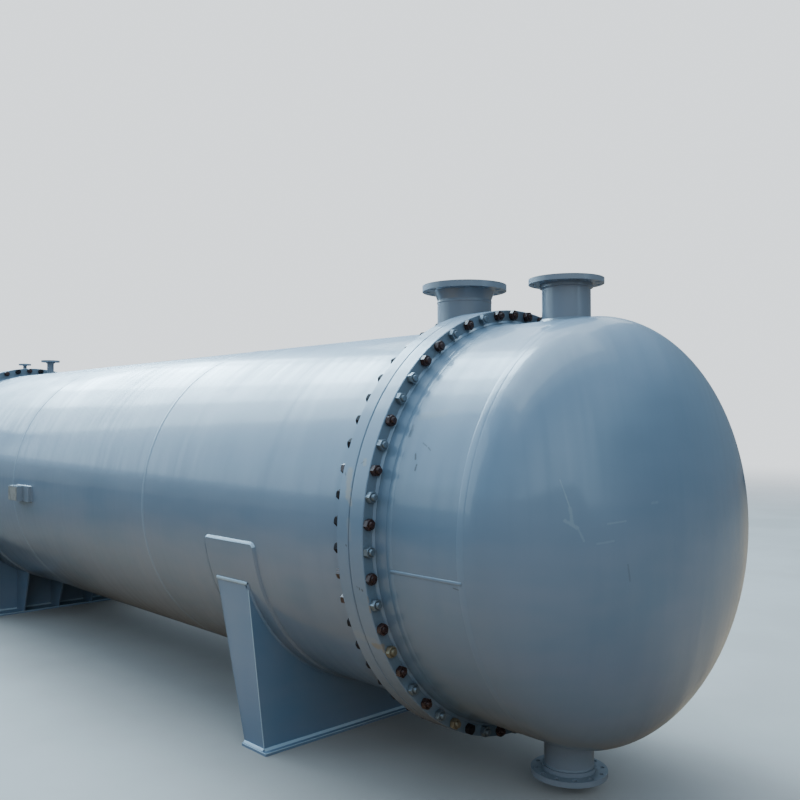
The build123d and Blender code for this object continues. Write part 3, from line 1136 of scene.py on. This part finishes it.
@dataclass
class GirthJoint:
    """The studs and nuts of one girth joint.

    Attributes:
        vessel: The vessel's sizes.
        end: Which end of the vessel it is at.
        finishes: The nuts' materials, one for each NutFinish.
        stud_count: Studs round the joint.
        circle_radius: Radius of the bolt circle.
        stud_radius: Radius of a stud.
        nut_flats: A nut's width between its flat sides.
        nut_height: Height of a nut on the channel's side.
        back_height: Height of a nut on the shell's side.
        stud_overhang: How far a stud stands out of its nut.
        thread_pitch: Distance from thread to thread.
        black_share: Share of the shell-side nuts that are black; the rest are brown.
        pattern: The channel-side nuts' finishes, from the top down the left side.
    """

    vessel: Vessel
    end: End
    finishes: Sequence[bpy.types.Material]
    stud_count: int = 56
    circle_radius: float = 0.965
    stud_radius: float = 0.0138
    nut_flats: float = 0.0425
    nut_height: float = 0.024
    back_height: float = 0.025
    stud_overhang: float = 0.009
    thread_pitch: float = 0.0035
    black_share: float = 0.80
    pattern: str = "BBBZBZBBZZBZBZBZBZBYBZBZYKZB"

    def _finish(self, number: int) -> NutFinish:
        """Chooses the finish of a channel-side nut.

        Args:
            number: Its place, counted from the top down the left side.

        Returns:
            The finish, from the pattern where it reaches so far.
        """
        letter = self.pattern[number] if number < len(self.pattern) else "BZ"[(number * 7 // 3) % 2]
        letters = {"B": NutFinish.BROWN, "Z": NutFinish.ZINC, "Y": NutFinish.YELLOW, "K": NutFinish.BLACK}
        return letters[letter]

    def _nut(self, draft: Draft, frame: Matrix, flats: float, height: float, finish: NutFinish) -> None:
        """Adds a chamfered hexagon nut that sits on the frame's floor.

        Args:
            draft: The piece it is added to.
            frame: The seat, with Z along the stud.
            flats: The nut's width between its flat sides.
            height: Its height.
            finish: The nut's finish.
        """
        half, bore = flats / 2, self.stud_radius
        rim, angles = half * 0.97, [2 * math.pi * k / 24 for k in range(24)]
        hexagon = [half / math.cos(angle % (math.pi / 3) - math.pi / 6) for angle in angles]
        # radius, none where it follows the hexagon; height; slope beyond the rim
        levels: list[tuple[float | None, float, float]] = [
            (bore, 0.0006, 0.0),
            (rim * 0.96, 0.0, 0.0),
            (rim, 0.0004, 0.0),
            (None, 0.0008, 0.5),
            (None, height - 0.0004, -0.62),
            (rim, height - 0.0002, 0.0),
            (rim * 0.95, height, 0.0),
            (bore * 1.14, height, 0.0),
            (bore * 0.99, height - 0.0018, 0.0),
        ]
        rows = []
        for radius, level, slope in levels:
            row = []
            for angle, reach in zip(angles, hexagon):
                r, z = radius or reach, level + slope * (reach - rim)
                row.append(frame @ Vector((r * math.cos(angle), r * math.sin(angle), z)))
            rows.append(row)
        draft.strip(rows, ring=True, loop=False, finish=finish.value)

    def _stud_end(self, draft: Draft, frame: Matrix, seat: float, overhang: float, finish: NutFinish) -> None:
        """Adds the threaded end of a stud above its nut.

        Args:
            draft: The piece it is added to.
            frame: The nut's seat, with Z along the stud.
            seat: The nut's height.
            overhang: How far the stud stands out of the nut.
            finish: The stud's finish.
        """
        radius, pitch = self.stud_radius, self.thread_pitch
        profile = [(seat - 0.002, radius * 0.90)]
        height = seat - pitch / 2
        while height < seat + overhang - pitch:
            profile += [
                (height + pitch * 0.25, radius * 0.99),
                (height + pitch * 0.55, radius * 0.99),
                (height + pitch, radius * 0.88),
            ]
            height += pitch
        top = seat + overhang
        profile += [
            (top - 0.0016, radius * 0.97),
            (top - 0.0002, radius * 0.84),
            (top, radius * 0.55),
            (top - 0.0003, 0.0005),
        ]
        draft.turned(frame, profile, 14, finish.value)

    def build(self) -> None:
        """Builds the nuts and stud ends on both sides of the joint."""
        vessel, sign = self.vessel, self.end.value
        dice = random.Random(31 + sign)
        channel_side, shell_side = Draft(), Draft()
        pitch, outward = 2 * math.pi / self.stud_count, Vector((sign, 0, 0))
        for number in range(self.stud_count):
            turn = pitch * (number - 0.5)
            finish = self._finish(number)
            seat = vessel.on_ring(sign * vessel.hub_start, self.circle_radius, turn)
            frame = frame_along(seat, outward, dice.uniform(0, math.pi / 3))
            overhang = self.stud_overhang + dice.uniform(-0.004, 0.005)
            self._nut(channel_side, frame, self.nut_flats, self.nut_height, finish)
            self._stud_end(channel_side, frame, self.nut_height, overhang, finish)
            seat = vessel.on_ring(sign * vessel.shell_end, self.circle_radius, turn)
            frame = frame_along(seat, -outward, dice.uniform(0, math.pi / 3))
            finish = NutFinish.BLACK if dice.random() < self.black_share else NutFinish.BROWN
            overhang = self.stud_overhang + dice.uniform(-0.005, 0.003)
            self._nut(shell_side, frame, self.nut_flats, self.back_height, finish)
            self._stud_end(shell_side, frame, self.back_height, overhang, finish)
        channel_side.piece(f"channel_side_nuts_{self.end.word}", self.finishes, "bare_steel")
        shell_side.piece(f"shell_side_nuts_{self.end.word}", self.finishes, "bare_steel")


@dataclass
class NozzleWelds:
    """The welds of one nozzle: to the vessel and to its flange.

    Attributes:
        vessel: The vessel's sizes.
        name: The nozzle's name.
        paint: Its paint.
        leg: Leg of the fillet at the pipe's foot, on a large pipe.
        neck_height: How far the weld under the flange stands out.
        steps: Points round a weld.
    """

    vessel: Vessel
    name: str
    paint: bpy.types.Material
    leg: float = 0.012
    neck_height: float = 0.0016
    steps: int = 72

    def build(self) -> None:
        """Lays the saddle-shaped weld round the pipe's foot, and the weld under its flange."""
        low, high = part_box(f"{self.name}_pipe")
        flange_low, flange_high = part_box(f"{self.name}_flange")
        x, radius = (low.x + high.x) / 2, (high.x - low.x) / 2
        sign = 1.0 if high.z > self.vessel.axis_height else -1.0
        leg = min(self.leg, radius * 0.22)
        foot, neck = [], []
        joint = flange_low.z if sign > 0 else flange_high.z
        for k in range(self.steps):
            angle = 2 * math.pi * k / self.steps
            around = Vector((math.cos(angle), math.sin(angle), 0.0))
            y = radius * around.y
            rise = math.sqrt(self.vessel.shell_radius**2 - y * y)
            point = Vector((x + radius * around.x, y, self.vessel.axis_height + sign * rise))
            slope = Vector((around.x, around.y, -sign * around.y * y / rise)).normalized()
            foot.append((point, Vector((0, 0, sign)), slope))
            neck.append((Vector((x, 0, joint)) + around * radius, Vector((0, 0, 1)), around))
        draft = Draft()
        WeldBead(seed=len(self.name)).corner_run(draft, foot, leg, True)
        WeldBead(seed=3 * len(self.name)).cap_run(draft, neck, leg * 1.1, self.neck_height, True)
        draft.piece(f"{self.name}_welds", [self.paint], "vessel_paint")


@dataclass
class SaddleWelds:
    """The fillet welds and ground edges of one saddle.

    Attributes:
        vessel: The vessel's sizes.
        end: Which end of the vessel it carries.
        paint: The saddle's paint.
        bead_paint: The pale paint on its beads and edges, a painted highlight where they catch the sky.
        plate_paint: The paint of the wear plate's weld.
        leg: Leg of the welds to the wear plate.
        foot_leg: Leg of the welds to the base.
        step: Distance between points of a weld.
        corner: Radius of the wear plate's corners.
        rib_inset: How far the ribs' feet stand inside the base's ends.
        rib_foot: How far the ribs reach behind the web at the base.
        rib_cap: Width and height of the beads on the ribs' tops.
        edge_radius: Radius of the ground edges.
    """

    vessel: Vessel
    end: End
    paint: bpy.types.Material
    bead_paint: bpy.types.Material
    plate_paint: bpy.types.Material
    leg: float = 0.008
    foot_leg: float = 0.011
    step: float = 0.012
    corner: float = 0.020
    rib_inset: float = 0.018
    rib_foot: float = 0.158
    rib_cap: tuple[float, float] = (0.020, 0.0070)
    edge_radius: float = 0.0024

    def __post_init__(self) -> None:
        """Measures the saddle's web, base and ribs."""
        sign, word = self.end.value, self.end.word
        low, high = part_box(f"saddle_{word}_web")
        self.face, self.back = (high.x, low.x) if sign > 0 else (low.x, high.x)
        self.top_y, self.top_z = high.y, high.z
        self.base_low, self.base_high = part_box(f"saddle_{word}_base")
        self.foot_y = self.base_high.y - self.rib_inset
        low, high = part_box(f"saddle_{word}_end_rib_left")
        self.rib_tip = low.x if sign > 0 else high.x
        self.arc_radius = math.hypot(self.top_y, self.top_z - self.vessel.axis_height)

    def _arc(self, x: float, radius: float, start: float, stop: float) -> list[Vector]:
        """Points round the vessel's axis from one angle to another."""
        count = max(2, int(abs(stop - start) * radius / self.step))
        return [self.vessel.on_ring(x, radius, start + (stop - start) * k / count) for k in range(count + 1)]

    def wear_plate(self) -> None:
        """Lays the weld round the wear plate's rounded outline."""
        vessel = self.vessel
        low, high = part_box(f"saddle_{self.end.word}_wrapper")
        radius = vessel.shell_radius
        half_x, middle = (high.x - low.x) / 2, (high.x + low.x) / 2
        top = math.acos(max(-1.0, min(1.0, (high.z - vessel.axis_height) / (radius + 0.01))))
        half_s, corner = (math.pi - top) * radius, self.corner
        outline: list[tuple[float, float, float, float]] = []
        corners = [(1, 1, 0), (-1, 1, 90), (-1, -1, 180), (1, -1, 270)]
        for sx, ss, first in corners:
            for k in range(7):
                a = math.radians(first + 15 * k)
                c, d = math.cos(a), math.sin(a)
                x, s = sx * (half_x - corner) + corner * c, ss * (half_s - corner) + corner * d
                outline.append((x, s, c, d))
        line, topmost = [], []
        for (x0, s0, nx0, ns0), (x1, s1, nx1, ns1) in zip(outline, outline[1:] + outline[:1]):
            count = max(1, int(math.hypot(x1 - x0, s1 - s0) / self.step))
            for k in range(count):
                t = k / count
                x, s = x0 + (x1 - x0) * t, s0 + (s1 - s0) * t
                turn = math.pi + s / radius
                around = Vector((0.0, -math.cos(turn), -math.sin(turn)))
                away = (Vector((nx0, 0, 0)) + around * ns0).normalized()
                line.append((vessel.on_ring(middle + x, radius, turn), vessel.outward(turn), away))
                topmost.append(abs(s) > half_s - corner * 0.6)
        draft = Draft()
        WeldBead(seed=41, wander=0.10).corner_run(draft, line, self.leg * 1.35, True)
        width = len(draft.faces) // len(line)
        # the stretches along the wear plate's top edges take the pale paint, a painted highlight
        draft.finishes = [int(lit) for lit in topmost for _ in range(width)]
        draft.piece(f"wear_plate_weld_{self.end.word}", [self.plate_paint, self.bead_paint], "vessel_paint")

    def plate_welds(self) -> None:
        """Lays the welds of the web and the end ribs to the wear plate and the base."""
        sign, base_top = self.end.value, self.base_high.z
        # the welds at the base and the beads on the ribs' tops take the pale paint, a painted highlight
        bead, draft, light = WeldBead(seed=53), Draft(), Draft()
        half = math.asin(self.top_y / self.arc_radius)
        for x, away in ((self.face, sign), (self.back, -sign)):
            along = Vector((away, 0, 0))
            arc = self._arc(x, self.arc_radius, math.pi - half, math.pi + half)
            axis = Vector((x, 0, self.vessel.axis_height))
            line = [(point, along, (point - axis).normalized()) for point in arc]
            bead.corner_run(draft, line, self.leg, False)
            ends = [Vector((x, side.value * self.foot_y, base_top)) for side in Side]
            line = [(point, along, Vector((0, 0, 1))) for point in straight(*ends, self.step)]
            bead.corner_run(light, line, self.foot_leg, False)
        for side in Side:
            out = side.value
            slope = Vector((0, out * (self.top_y - self.foot_y), self.top_z - base_top)).normalized()
            lying = Vector((0, out, 0))
            reach = (self.face, self.back - sign * self.rib_foot)
            ends = [Vector((x, out * self.foot_y, base_top)) for x in reach]
            line = [(point, lying, slope) for point in straight(*ends, self.step)]
            bead.corner_run(light, line, self.foot_leg, False)
            ends = [Vector((x, out * self.top_y, self.top_z)) for x in (self.face, self.rib_tip)]
            outward = Vector((0, out, 0.1)).normalized()
            line = [(point, slope, outward) for point in straight(*ends, self.step)]
            bead.cap_run(light, line, *self.rib_cap, False)
        draft.piece(f"saddle_arc_welds_{self.end.word}", [self.paint], "vessel_paint")
        light.piece(f"saddle_foot_welds_{self.end.word}", [self.bead_paint], "vessel_paint")

    def edges(self) -> None:
        """Rounds the outside edges of the end ribs and of the base plate."""
        sign, base_top = self.end.value, self.base_high.z
        bead, draft = WeldBead(), Draft()
        for side in Side:
            out = side.value
            lean = Vector((0, out * (self.top_z - base_top), self.foot_y - self.top_y)).normalized()
            tail = self.back - sign * self.rib_foot
            for foot_x, top_x, way in ((self.face, self.face, sign), (tail, self.rib_tip, -sign)):
                foot = Vector((foot_x, out * self.foot_y, base_top))
                top = Vector((top_x, out * self.top_y, self.top_z))
                line = [(point, Vector((way, 0, 0)), lean) for point in straight(foot, top, 0.03)]
                bead.edge_run(draft, line, self.edge_radius)
        low, high = self.base_low, self.base_high
        corners = [(low.x, low.y), (high.x, low.y), (high.x, high.y), (low.x, high.y)]
        outward = [Vector((0, -1, 0)), Vector((1, 0, 0)), Vector((0, 1, 0)), Vector((-1, 0, 0))]
        for number, normal in enumerate(outward):
            start, stop = (Vector((*corners[k % 4], high.z)) for k in (number, number + 1))
            line = [(point, normal, Vector((0, 0, 1))) for point in straight(start, stop, 0.05)]
            bead.edge_run(draft, line, self.edge_radius)
        # the rounded edges take the pale paint, a painted highlight
        draft.piece(f"saddle_edges_{self.end.word}", [self.bead_paint], "vessel_paint")

    def build(self) -> None:
        """Lays the saddle's welds and rounds its edges."""
        self.wear_plate()
        self.plate_welds()
        self.edges()


@dataclass
class NameplateFixings:
    """The weld round the nameplate's bracket and the rivets that hold the plate.

    Attributes:
        vessel: The vessel's sizes.
        paint: The weld's paint, a little lighter than the body paint as a painted highlight.
        steel: The rivets' material.
        leg: The weld's leg.
        step: Distance between points of the weld.
        inset: How far the rivets stand inside the plate's edges.
        rivet_radius: Radius of a rivet's head.
    """

    vessel: Vessel
    paint: bpy.types.Material
    steel: bpy.types.Material
    leg: float = 0.004
    step: float = 0.008
    inset: float = 0.008
    rivet_radius: float = 0.0032

    def weld(self) -> None:
        """Lays the fillet between the bracket and the shell."""
        low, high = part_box("nameplate_base")
        radius, axis = self.vessel.shell_radius, self.vessel.axis_height
        forward, bead, draft = Vector((0, -1, 0)), WeldBead(seed=11), Draft()
        for z, way in ((high.z, 1), (low.z, -1)):
            turn = math.acos((z - axis) / radius)
            point = self.vessel.on_ring(0.0, radius, turn)
            start, stop = (Vector((x, point.y, point.z)) for x in (low.x, high.x))
            climb = Vector((0, math.cos(turn), math.sin(turn))) * way
            line = [(spot, climb, forward) for spot in straight(start, stop, self.step)]
            bead.corner_run(draft, line, self.leg, False)
        for x, way in ((high.x, 1), (low.x, -1)):
            count, line = 14, []
            for k in range(count + 1):
                z = low.z + (high.z - low.z) * k / count
                point = self.vessel.on_ring(x, radius, math.acos((z - axis) / radius))
                line.append((point, Vector((way, 0, 0)), forward))
            bead.corner_run(draft, line, self.leg, False)
        draft.piece("nameplate_weld", [self.paint], "vessel_paint")

    def rivets(self) -> None:
        """Sets a rivet in each corner of the plate."""
        low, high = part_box("nameplate")
        draft, r = Draft(), self.rivet_radius
        profile = [(-0.0003, r), (0.0006, r * 0.97), (0.0013, r * 0.76), (0.0017, r * 0.42), (0.0018, 0.0001)]
        for x in (low.x + self.inset, high.x - self.inset):
            for z in (low.z + self.inset, high.z - self.inset):
                draft.turned(frame_along(Vector((x, low.y, z)), Vector((0, -1, 0))), profile, 16)
        draft.piece("nameplate_rivets", [self.steel], "bare_steel")

    def build(self) -> None:
        """Builds the weld and the rivets."""
        self.weld()
        self.rivets()


@dataclass(frozen=True)
class Softbox:
    """One large soft light.

    Attributes:
        name: The light's name.
        place: Where it hangs.
        target: What it faces.
        size: Its two sides.
        glow: How bright its face looks.
        tint: Its colour.
        mirrored: Whether glossy surfaces show it.
    """

    name: str
    place: Place
    target: Place
    size: tuple[float, float]
    glow: float
    tint: Colour
    mirrored: bool = True

    def hang(self) -> None:
        """Hangs the light, unseen by the camera."""
        lamp = bpy.data.lights.new(self.name, "AREA")
        lamp.shape, lamp.size, lamp.size_y = "RECTANGLE", *self.size
        lamp.energy, lamp.color = self.glow * math.pi * self.size[0] * self.size[1], self.tint
        made = bpy.data.objects.new(self.name, lamp)
        made.location = self.place
        made.rotation_mode = "QUATERNION"
        made.rotation_quaternion = (Vector(self.target) - Vector(self.place)).to_track_quat("-Z", "Y")
        made.visible_camera, made.visible_glossy = False, self.mirrored
        bpy.context.scene.collection.objects.link(made)


BLUE, PALE, SKY = (0.60, 0.86, 1.05), (0.64, 0.88, 1.03), (0.72, 0.90, 1.0)
WHITE, WARM = (0.82, 0.94, 1.0), (1.0, 0.93, 0.84)
SOFTBOXES = (
    Softbox("back_light", (-12.48, 2.56, 14.4), (2.42, -0.84, 1.5), (5.0, 16.0), 11.5, BLUE),
    Softbox("back_glow", (-12.67, 1.73, 14.4), (2.23, -1.67, 1.5), (10.0, 16.0), 7.8, BLUE),
    Softbox("side_light", (-15.0, -13.5, 11.5), (1.5, 0.0, 1.6), (20.0, 16.0), 1.5, PALE),
    Softbox("back_wash", (-13.8, -0.37, 13.6), (1.09, -3.77, 0.74), (14.0, 18.0), 3.8, PALE),
    Softbox("far_light", (-3.3, 7.9, 12.0), (3.7, -0.3, 2.0), (10.0, 10.0), 2.2, WHITE),
    Softbox("top_light", (1.7, 0.25, 11.9), (-1.2, 0.75, 2.8), (11.0, 9.0), 2.25, SKY),
    Softbox("top_glow", (2.9, 0.0, 11.5), (0.0, 0.5, 2.4), (14.0, 10.0), 0.8, SKY),
    Softbox("front_light", (13.5, -8.5, 6.8), (3.9, 0.0, 1.1), (16.0, 8.0), 1.18, WARM, False),
)


@dataclass
class Studio:
    """The floor, the soft lights and the camera at the photograph's viewpoint.

    Attributes:
        place: Where the camera stands.
        heading: Its heading, in degrees from +Y towards -X.
        pitch: How far it looks up, in degrees.
        roll: How far it leans, in degrees.
        lens: Its focal length, on a sensor 36 mm wide.
        air: The air's light above and behind.
        ahead: The air's light ahead of the front head.
        beside: The air's light low on the right side.
        horizon: The air's light at the horizon.
        below: The air's light under the horizon.
    """

    place: Place = (5.6579, -3.2354, 1.6275)
    heading: float = 46.3513
    pitch: float = 1.4814
    roll: float = -0.0581
    lens: float = 38.756
    air: Colour = (0.67, 0.97, 1.32)
    ahead: Colour = (1.15, 1.60, 2.00)
    beside: Colour = (0.175, 0.21, 0.24)
    horizon: Colour = (0.30, 0.35, 0.39)
    below: Colour = (0.27, 0.225, 0.185)

    def _stand(self, name: str, draft: Draft, material: bpy.types.Material) -> bpy.types.Object:
        """Puts a piece of the studio in place.

        Args:
            name: The piece's name.
            draft: Its corners and faces.
            material: Its material.

        Returns:
            The object.
        """
        mesh = bpy.data.meshes.new(name)
        mesh.from_pydata([tuple(p) for p in draft.points], [], draft.faces)
        mesh.materials.append(material)
        made = bpy.data.objects.new(name, mesh)
        bpy.context.scene.collection.objects.link(made)
        return made

    def _sheet(self, name: str, reach: float, height: float,
               material: bpy.types.Material) -> bpy.types.Object:
        """Lays a square sheet round the middle of the vessel.

        Args:
            name: The sheet's name.
            reach: Half of its side.
            height: How high it lies.
            material: Its material.

        Returns:
            The object.
        """
        draft = Draft()
        rows = [[Vector((x, side * reach, height)) for x in (-reach, reach)] for side in (-1, 1)]
        draft.strip(rows, ring=False, loop=False)
        return self._stand(name, draft, material)

    def floor(self) -> None:
        """Lays the pale floor."""
        floor = self._sheet("studio_floor", 33.0, 0.0, StudioFloor().material())
        floor.visible_diffuse = floor.visible_glossy = floor.visible_shadow = False

    def ground(self) -> None:
        """Lays the darker ground that the vessel mirrors, unseen by the camera."""
        self._sheet("studio_ground", 59.0, -0.004, StudioGround().material()).visible_camera = False

    def paper(self) -> None:
        """Hangs the pale paper, which is seen but sheds no light on the vessel."""
        draft = Draft()
        rises = (math.radians(a) for a in range(-84, 85, 12))
        draft.turned(Matrix.Identity(4), [(60.0 * math.sin(a), 60.0 * math.cos(a)) for a in rises], 32)
        paper = self._stand("studio_paper", draft, StudioPaper().material())
        paper.visible_diffuse = paper.visible_glossy = paper.visible_shadow = False
        paper.visible_transmission = paper.visible_volume_scatter = False

    def surround(self) -> None:
        """Makes the air pale above, brighter ahead, and dim on the right, at the horizon and below."""
        world = bpy.data.worlds.new("studio_air")
        world.use_nodes = True
        graph = Graph.of_world(world)
        direction = graph.node("ShaderNodeTexCoord", {}, {}).out("Generated")
        along, across, height = graph.parts(direction)
        below = graph.step(height, 0.02, -0.06)
        beside = graph.step(across, 0.0, 0.50) * graph.step(height, 0.68, 0.34)
        beside = beside * graph.step(along, -0.60, -0.30)
        tall = graph.step(along, -0.80, -0.71) * graph.step(across, 0.10, -0.10)
        low = graph.step(height - tall * 0.17, 0.11, 0.07)
        ahead = graph.step(along, 0.50, 0.85) * graph.step(height, 0.02, 0.14)
        colour = graph.blend(self.air, self.ahead, ahead)
        colour = graph.blend(colour, self.beside, beside)
        colour = graph.blend(colour, self.horizon, low * (1.0 - beside))
        colour = graph.blend(colour, self.below, below)
        light = graph.node("ShaderNodeBackground", {}, {"Color": colour, "Strength": 1.0}).out("Background")
        graph.node("ShaderNodeOutputWorld", {}, {"Surface": light})
        bpy.context.scene.world = world

    def lights(self) -> None:
        """Sets the pale surround and hangs the softboxes."""
        self.surround()
        for softbox in SOFTBOXES:
            softbox.hang()

    def camera(self) -> None:
        """Places the camera where the photograph was taken from."""
        data = bpy.data.cameras.new("portrait_camera")
        data.lens, data.sensor_width = self.lens, 36.0
        data.clip_start, data.clip_end = 0.05, 300.0
        made = bpy.data.objects.new("portrait_camera", data)
        turn = Matrix.Rotation(math.radians(self.heading), 3, "Z")
        tilt = Matrix.Rotation(math.radians(90.0 + self.pitch), 3, "X")
        lean = Matrix.Rotation(math.radians(self.roll), 3, "Z")
        made.matrix_world = Matrix.Translation(self.place) @ (turn @ tilt @ lean).to_4x4()
        bpy.context.scene.collection.objects.link(made)
        bpy.context.scene.camera = made

    def build(self) -> None:
        """Builds the studio."""
        self.floor()
        self.ground()
        self.paper()
        self.lights()
        self.camera()


@dataclass(frozen=True)
class PaintJob:
    """The vessel's paint on its channels, its shell, its nozzles and its saddles.

    Attributes:
        front: On the front channel and head.
        shell: On the shell and the wear plates.
        rear: On the rear channel and head.
        welds: On the welds of the casing, a little lighter than the body as a painted highlight on the beads.
        seams: On the welds between the courses, lighter still as a painted highlight on their crowns.
        nozzles: On the nozzles and the nameplate's bracket.
        saddles: On the saddles, bluer and lighter than the body as painted sky light on their faces.
        saddle_edges: On the saddles' beads and edges, pale as a painted highlight where they catch the sky.
    """

    front: bpy.types.Material
    shell: bpy.types.Material
    rear: bpy.types.Material
    welds: bpy.types.Material
    seams: bpy.types.Material
    nozzles: bpy.types.Material
    saddles: bpy.types.Material
    saddle_edges: bpy.types.Material

    @staticmethod
    def mixed(vessel: Vessel) -> PaintJob:
        """Mixes the paints, each with the marks of its own part of the vessel.

        Args:
            vessel: The vessel's sizes.

        Returns:
            The paints.
        """
        split, end, height = vessel.shell_end - 0.03, 9.0, vessel.axis_height
        reaches = {"front": (split, end), "shell": (-split, split), "rear": (-end, -split)}
        # how much painted warm bounce light each part of the casing carries
        painted_bounce_shares = {"front": 0.22, "shell": 0.28, "rear": 0.22}
        body = {
            word: VesselPaint(
                f"vessel_paint_{word}", axis_height=height, reach=reach, film_share=painted_bounce_shares[word]
            ).material()
            for word, reach in reaches.items()
        }
        # base, faded and shaded colours
        tones = {
            # the welds a little lighter than the body: a painted highlight on the beads
            "welds": ((0.108, 0.169, 0.234), (0.124, 0.189, 0.256), (0.092, 0.147, 0.206)),
            # the seams lighter still: a painted highlight where their crowns catch the sky
            "seams": ((0.142, 0.208, 0.276), (0.168, 0.240, 0.310), (0.114, 0.176, 0.240)),
            "nozzles": ((0.118, 0.158, 0.198), (0.132, 0.175, 0.218), (0.102, 0.138, 0.176)),
            # the saddles bluer and lighter than the body: painted sky light on their faces
            "saddles": ((0.092, 0.170, 0.262), (0.106, 0.190, 0.286), (0.078, 0.148, 0.232)),
            # the saddles' beads and edges pale: a painted highlight where they catch the sky
            "saddle_edges": ((0.310, 0.430, 0.520), (0.360, 0.480, 0.570), (0.250, 0.370, 0.460)),
        }
        others = {
            word: VesselPaint(f"vessel_paint_{word}", *colours, axis_height=height).material()
            for word, colours in tones.items()
        }
        return PaintJob(**body, **others)

    def on(self, node: str) -> bpy.types.Material:
        """Chooses the paint of one solid.

        Args:
            node: The solid's name.

        Returns:
            The paint.
        """
        if node.startswith("shell_course") or node.endswith("wrapper"):
            return self.shell
        if node.startswith(("tubesheet", "channel_flange", "channel_barrel", "head")):
            return self.front if node.endswith("front") else self.rear
        return self.saddles if node.startswith("saddle") else self.nozzles


def dress_solids(frame: dict[str, Any], paints: PaintJob, others: dict[str, bpy.types.Material]) -> None:
    """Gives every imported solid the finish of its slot.

    Args:
        frame: The loaded frame.
        paints: The vessel's paints.
        others: The other slots' names to their materials.
    """
    slots = {part["node"]: part["material_slot"] for part in frame["record"]["subparts"]}
    for name, solid in frame["nodes"].items():
        material = others.get(slots[name]) or paints.on(name)
        solid.data.materials.clear()
        solid.data.materials.append(material)
        LOG.info("%s: %s", name, material.name)


def main() -> None:
    """Builds the exchanger's dressed pieces and the studio round it."""
    logging.basicConfig(level=logging.INFO, format="%(name)s: %(message)s")
    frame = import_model()
    vessel = Vessel()
    paints = PaintJob.mixed(vessel)
    nut_finishes = [NUT_STEELS[finish].material() for finish in NutFinish]
    plate_steel = NameplateSteel().material()
    dress_solids(frame, paints, {"gasket": GasketEdge().material(), "bare_steel": plate_steel})
    Casing(vessel, paints.welds, paints.seams).build()
    for end in End:
        GirthJoint(vessel, end, nut_finishes).build()
        SaddleWelds(vessel, end, paints.saddles, paints.saddle_edges, paints.shell).build()
    for name in NOZZLES:
        NozzleWelds(vessel, name, paints.nozzles).build()
    NameplateFixings(vessel, paints.welds, plate_steel).build()
    Studio().build()


if __name__ == "__main__":
    main()
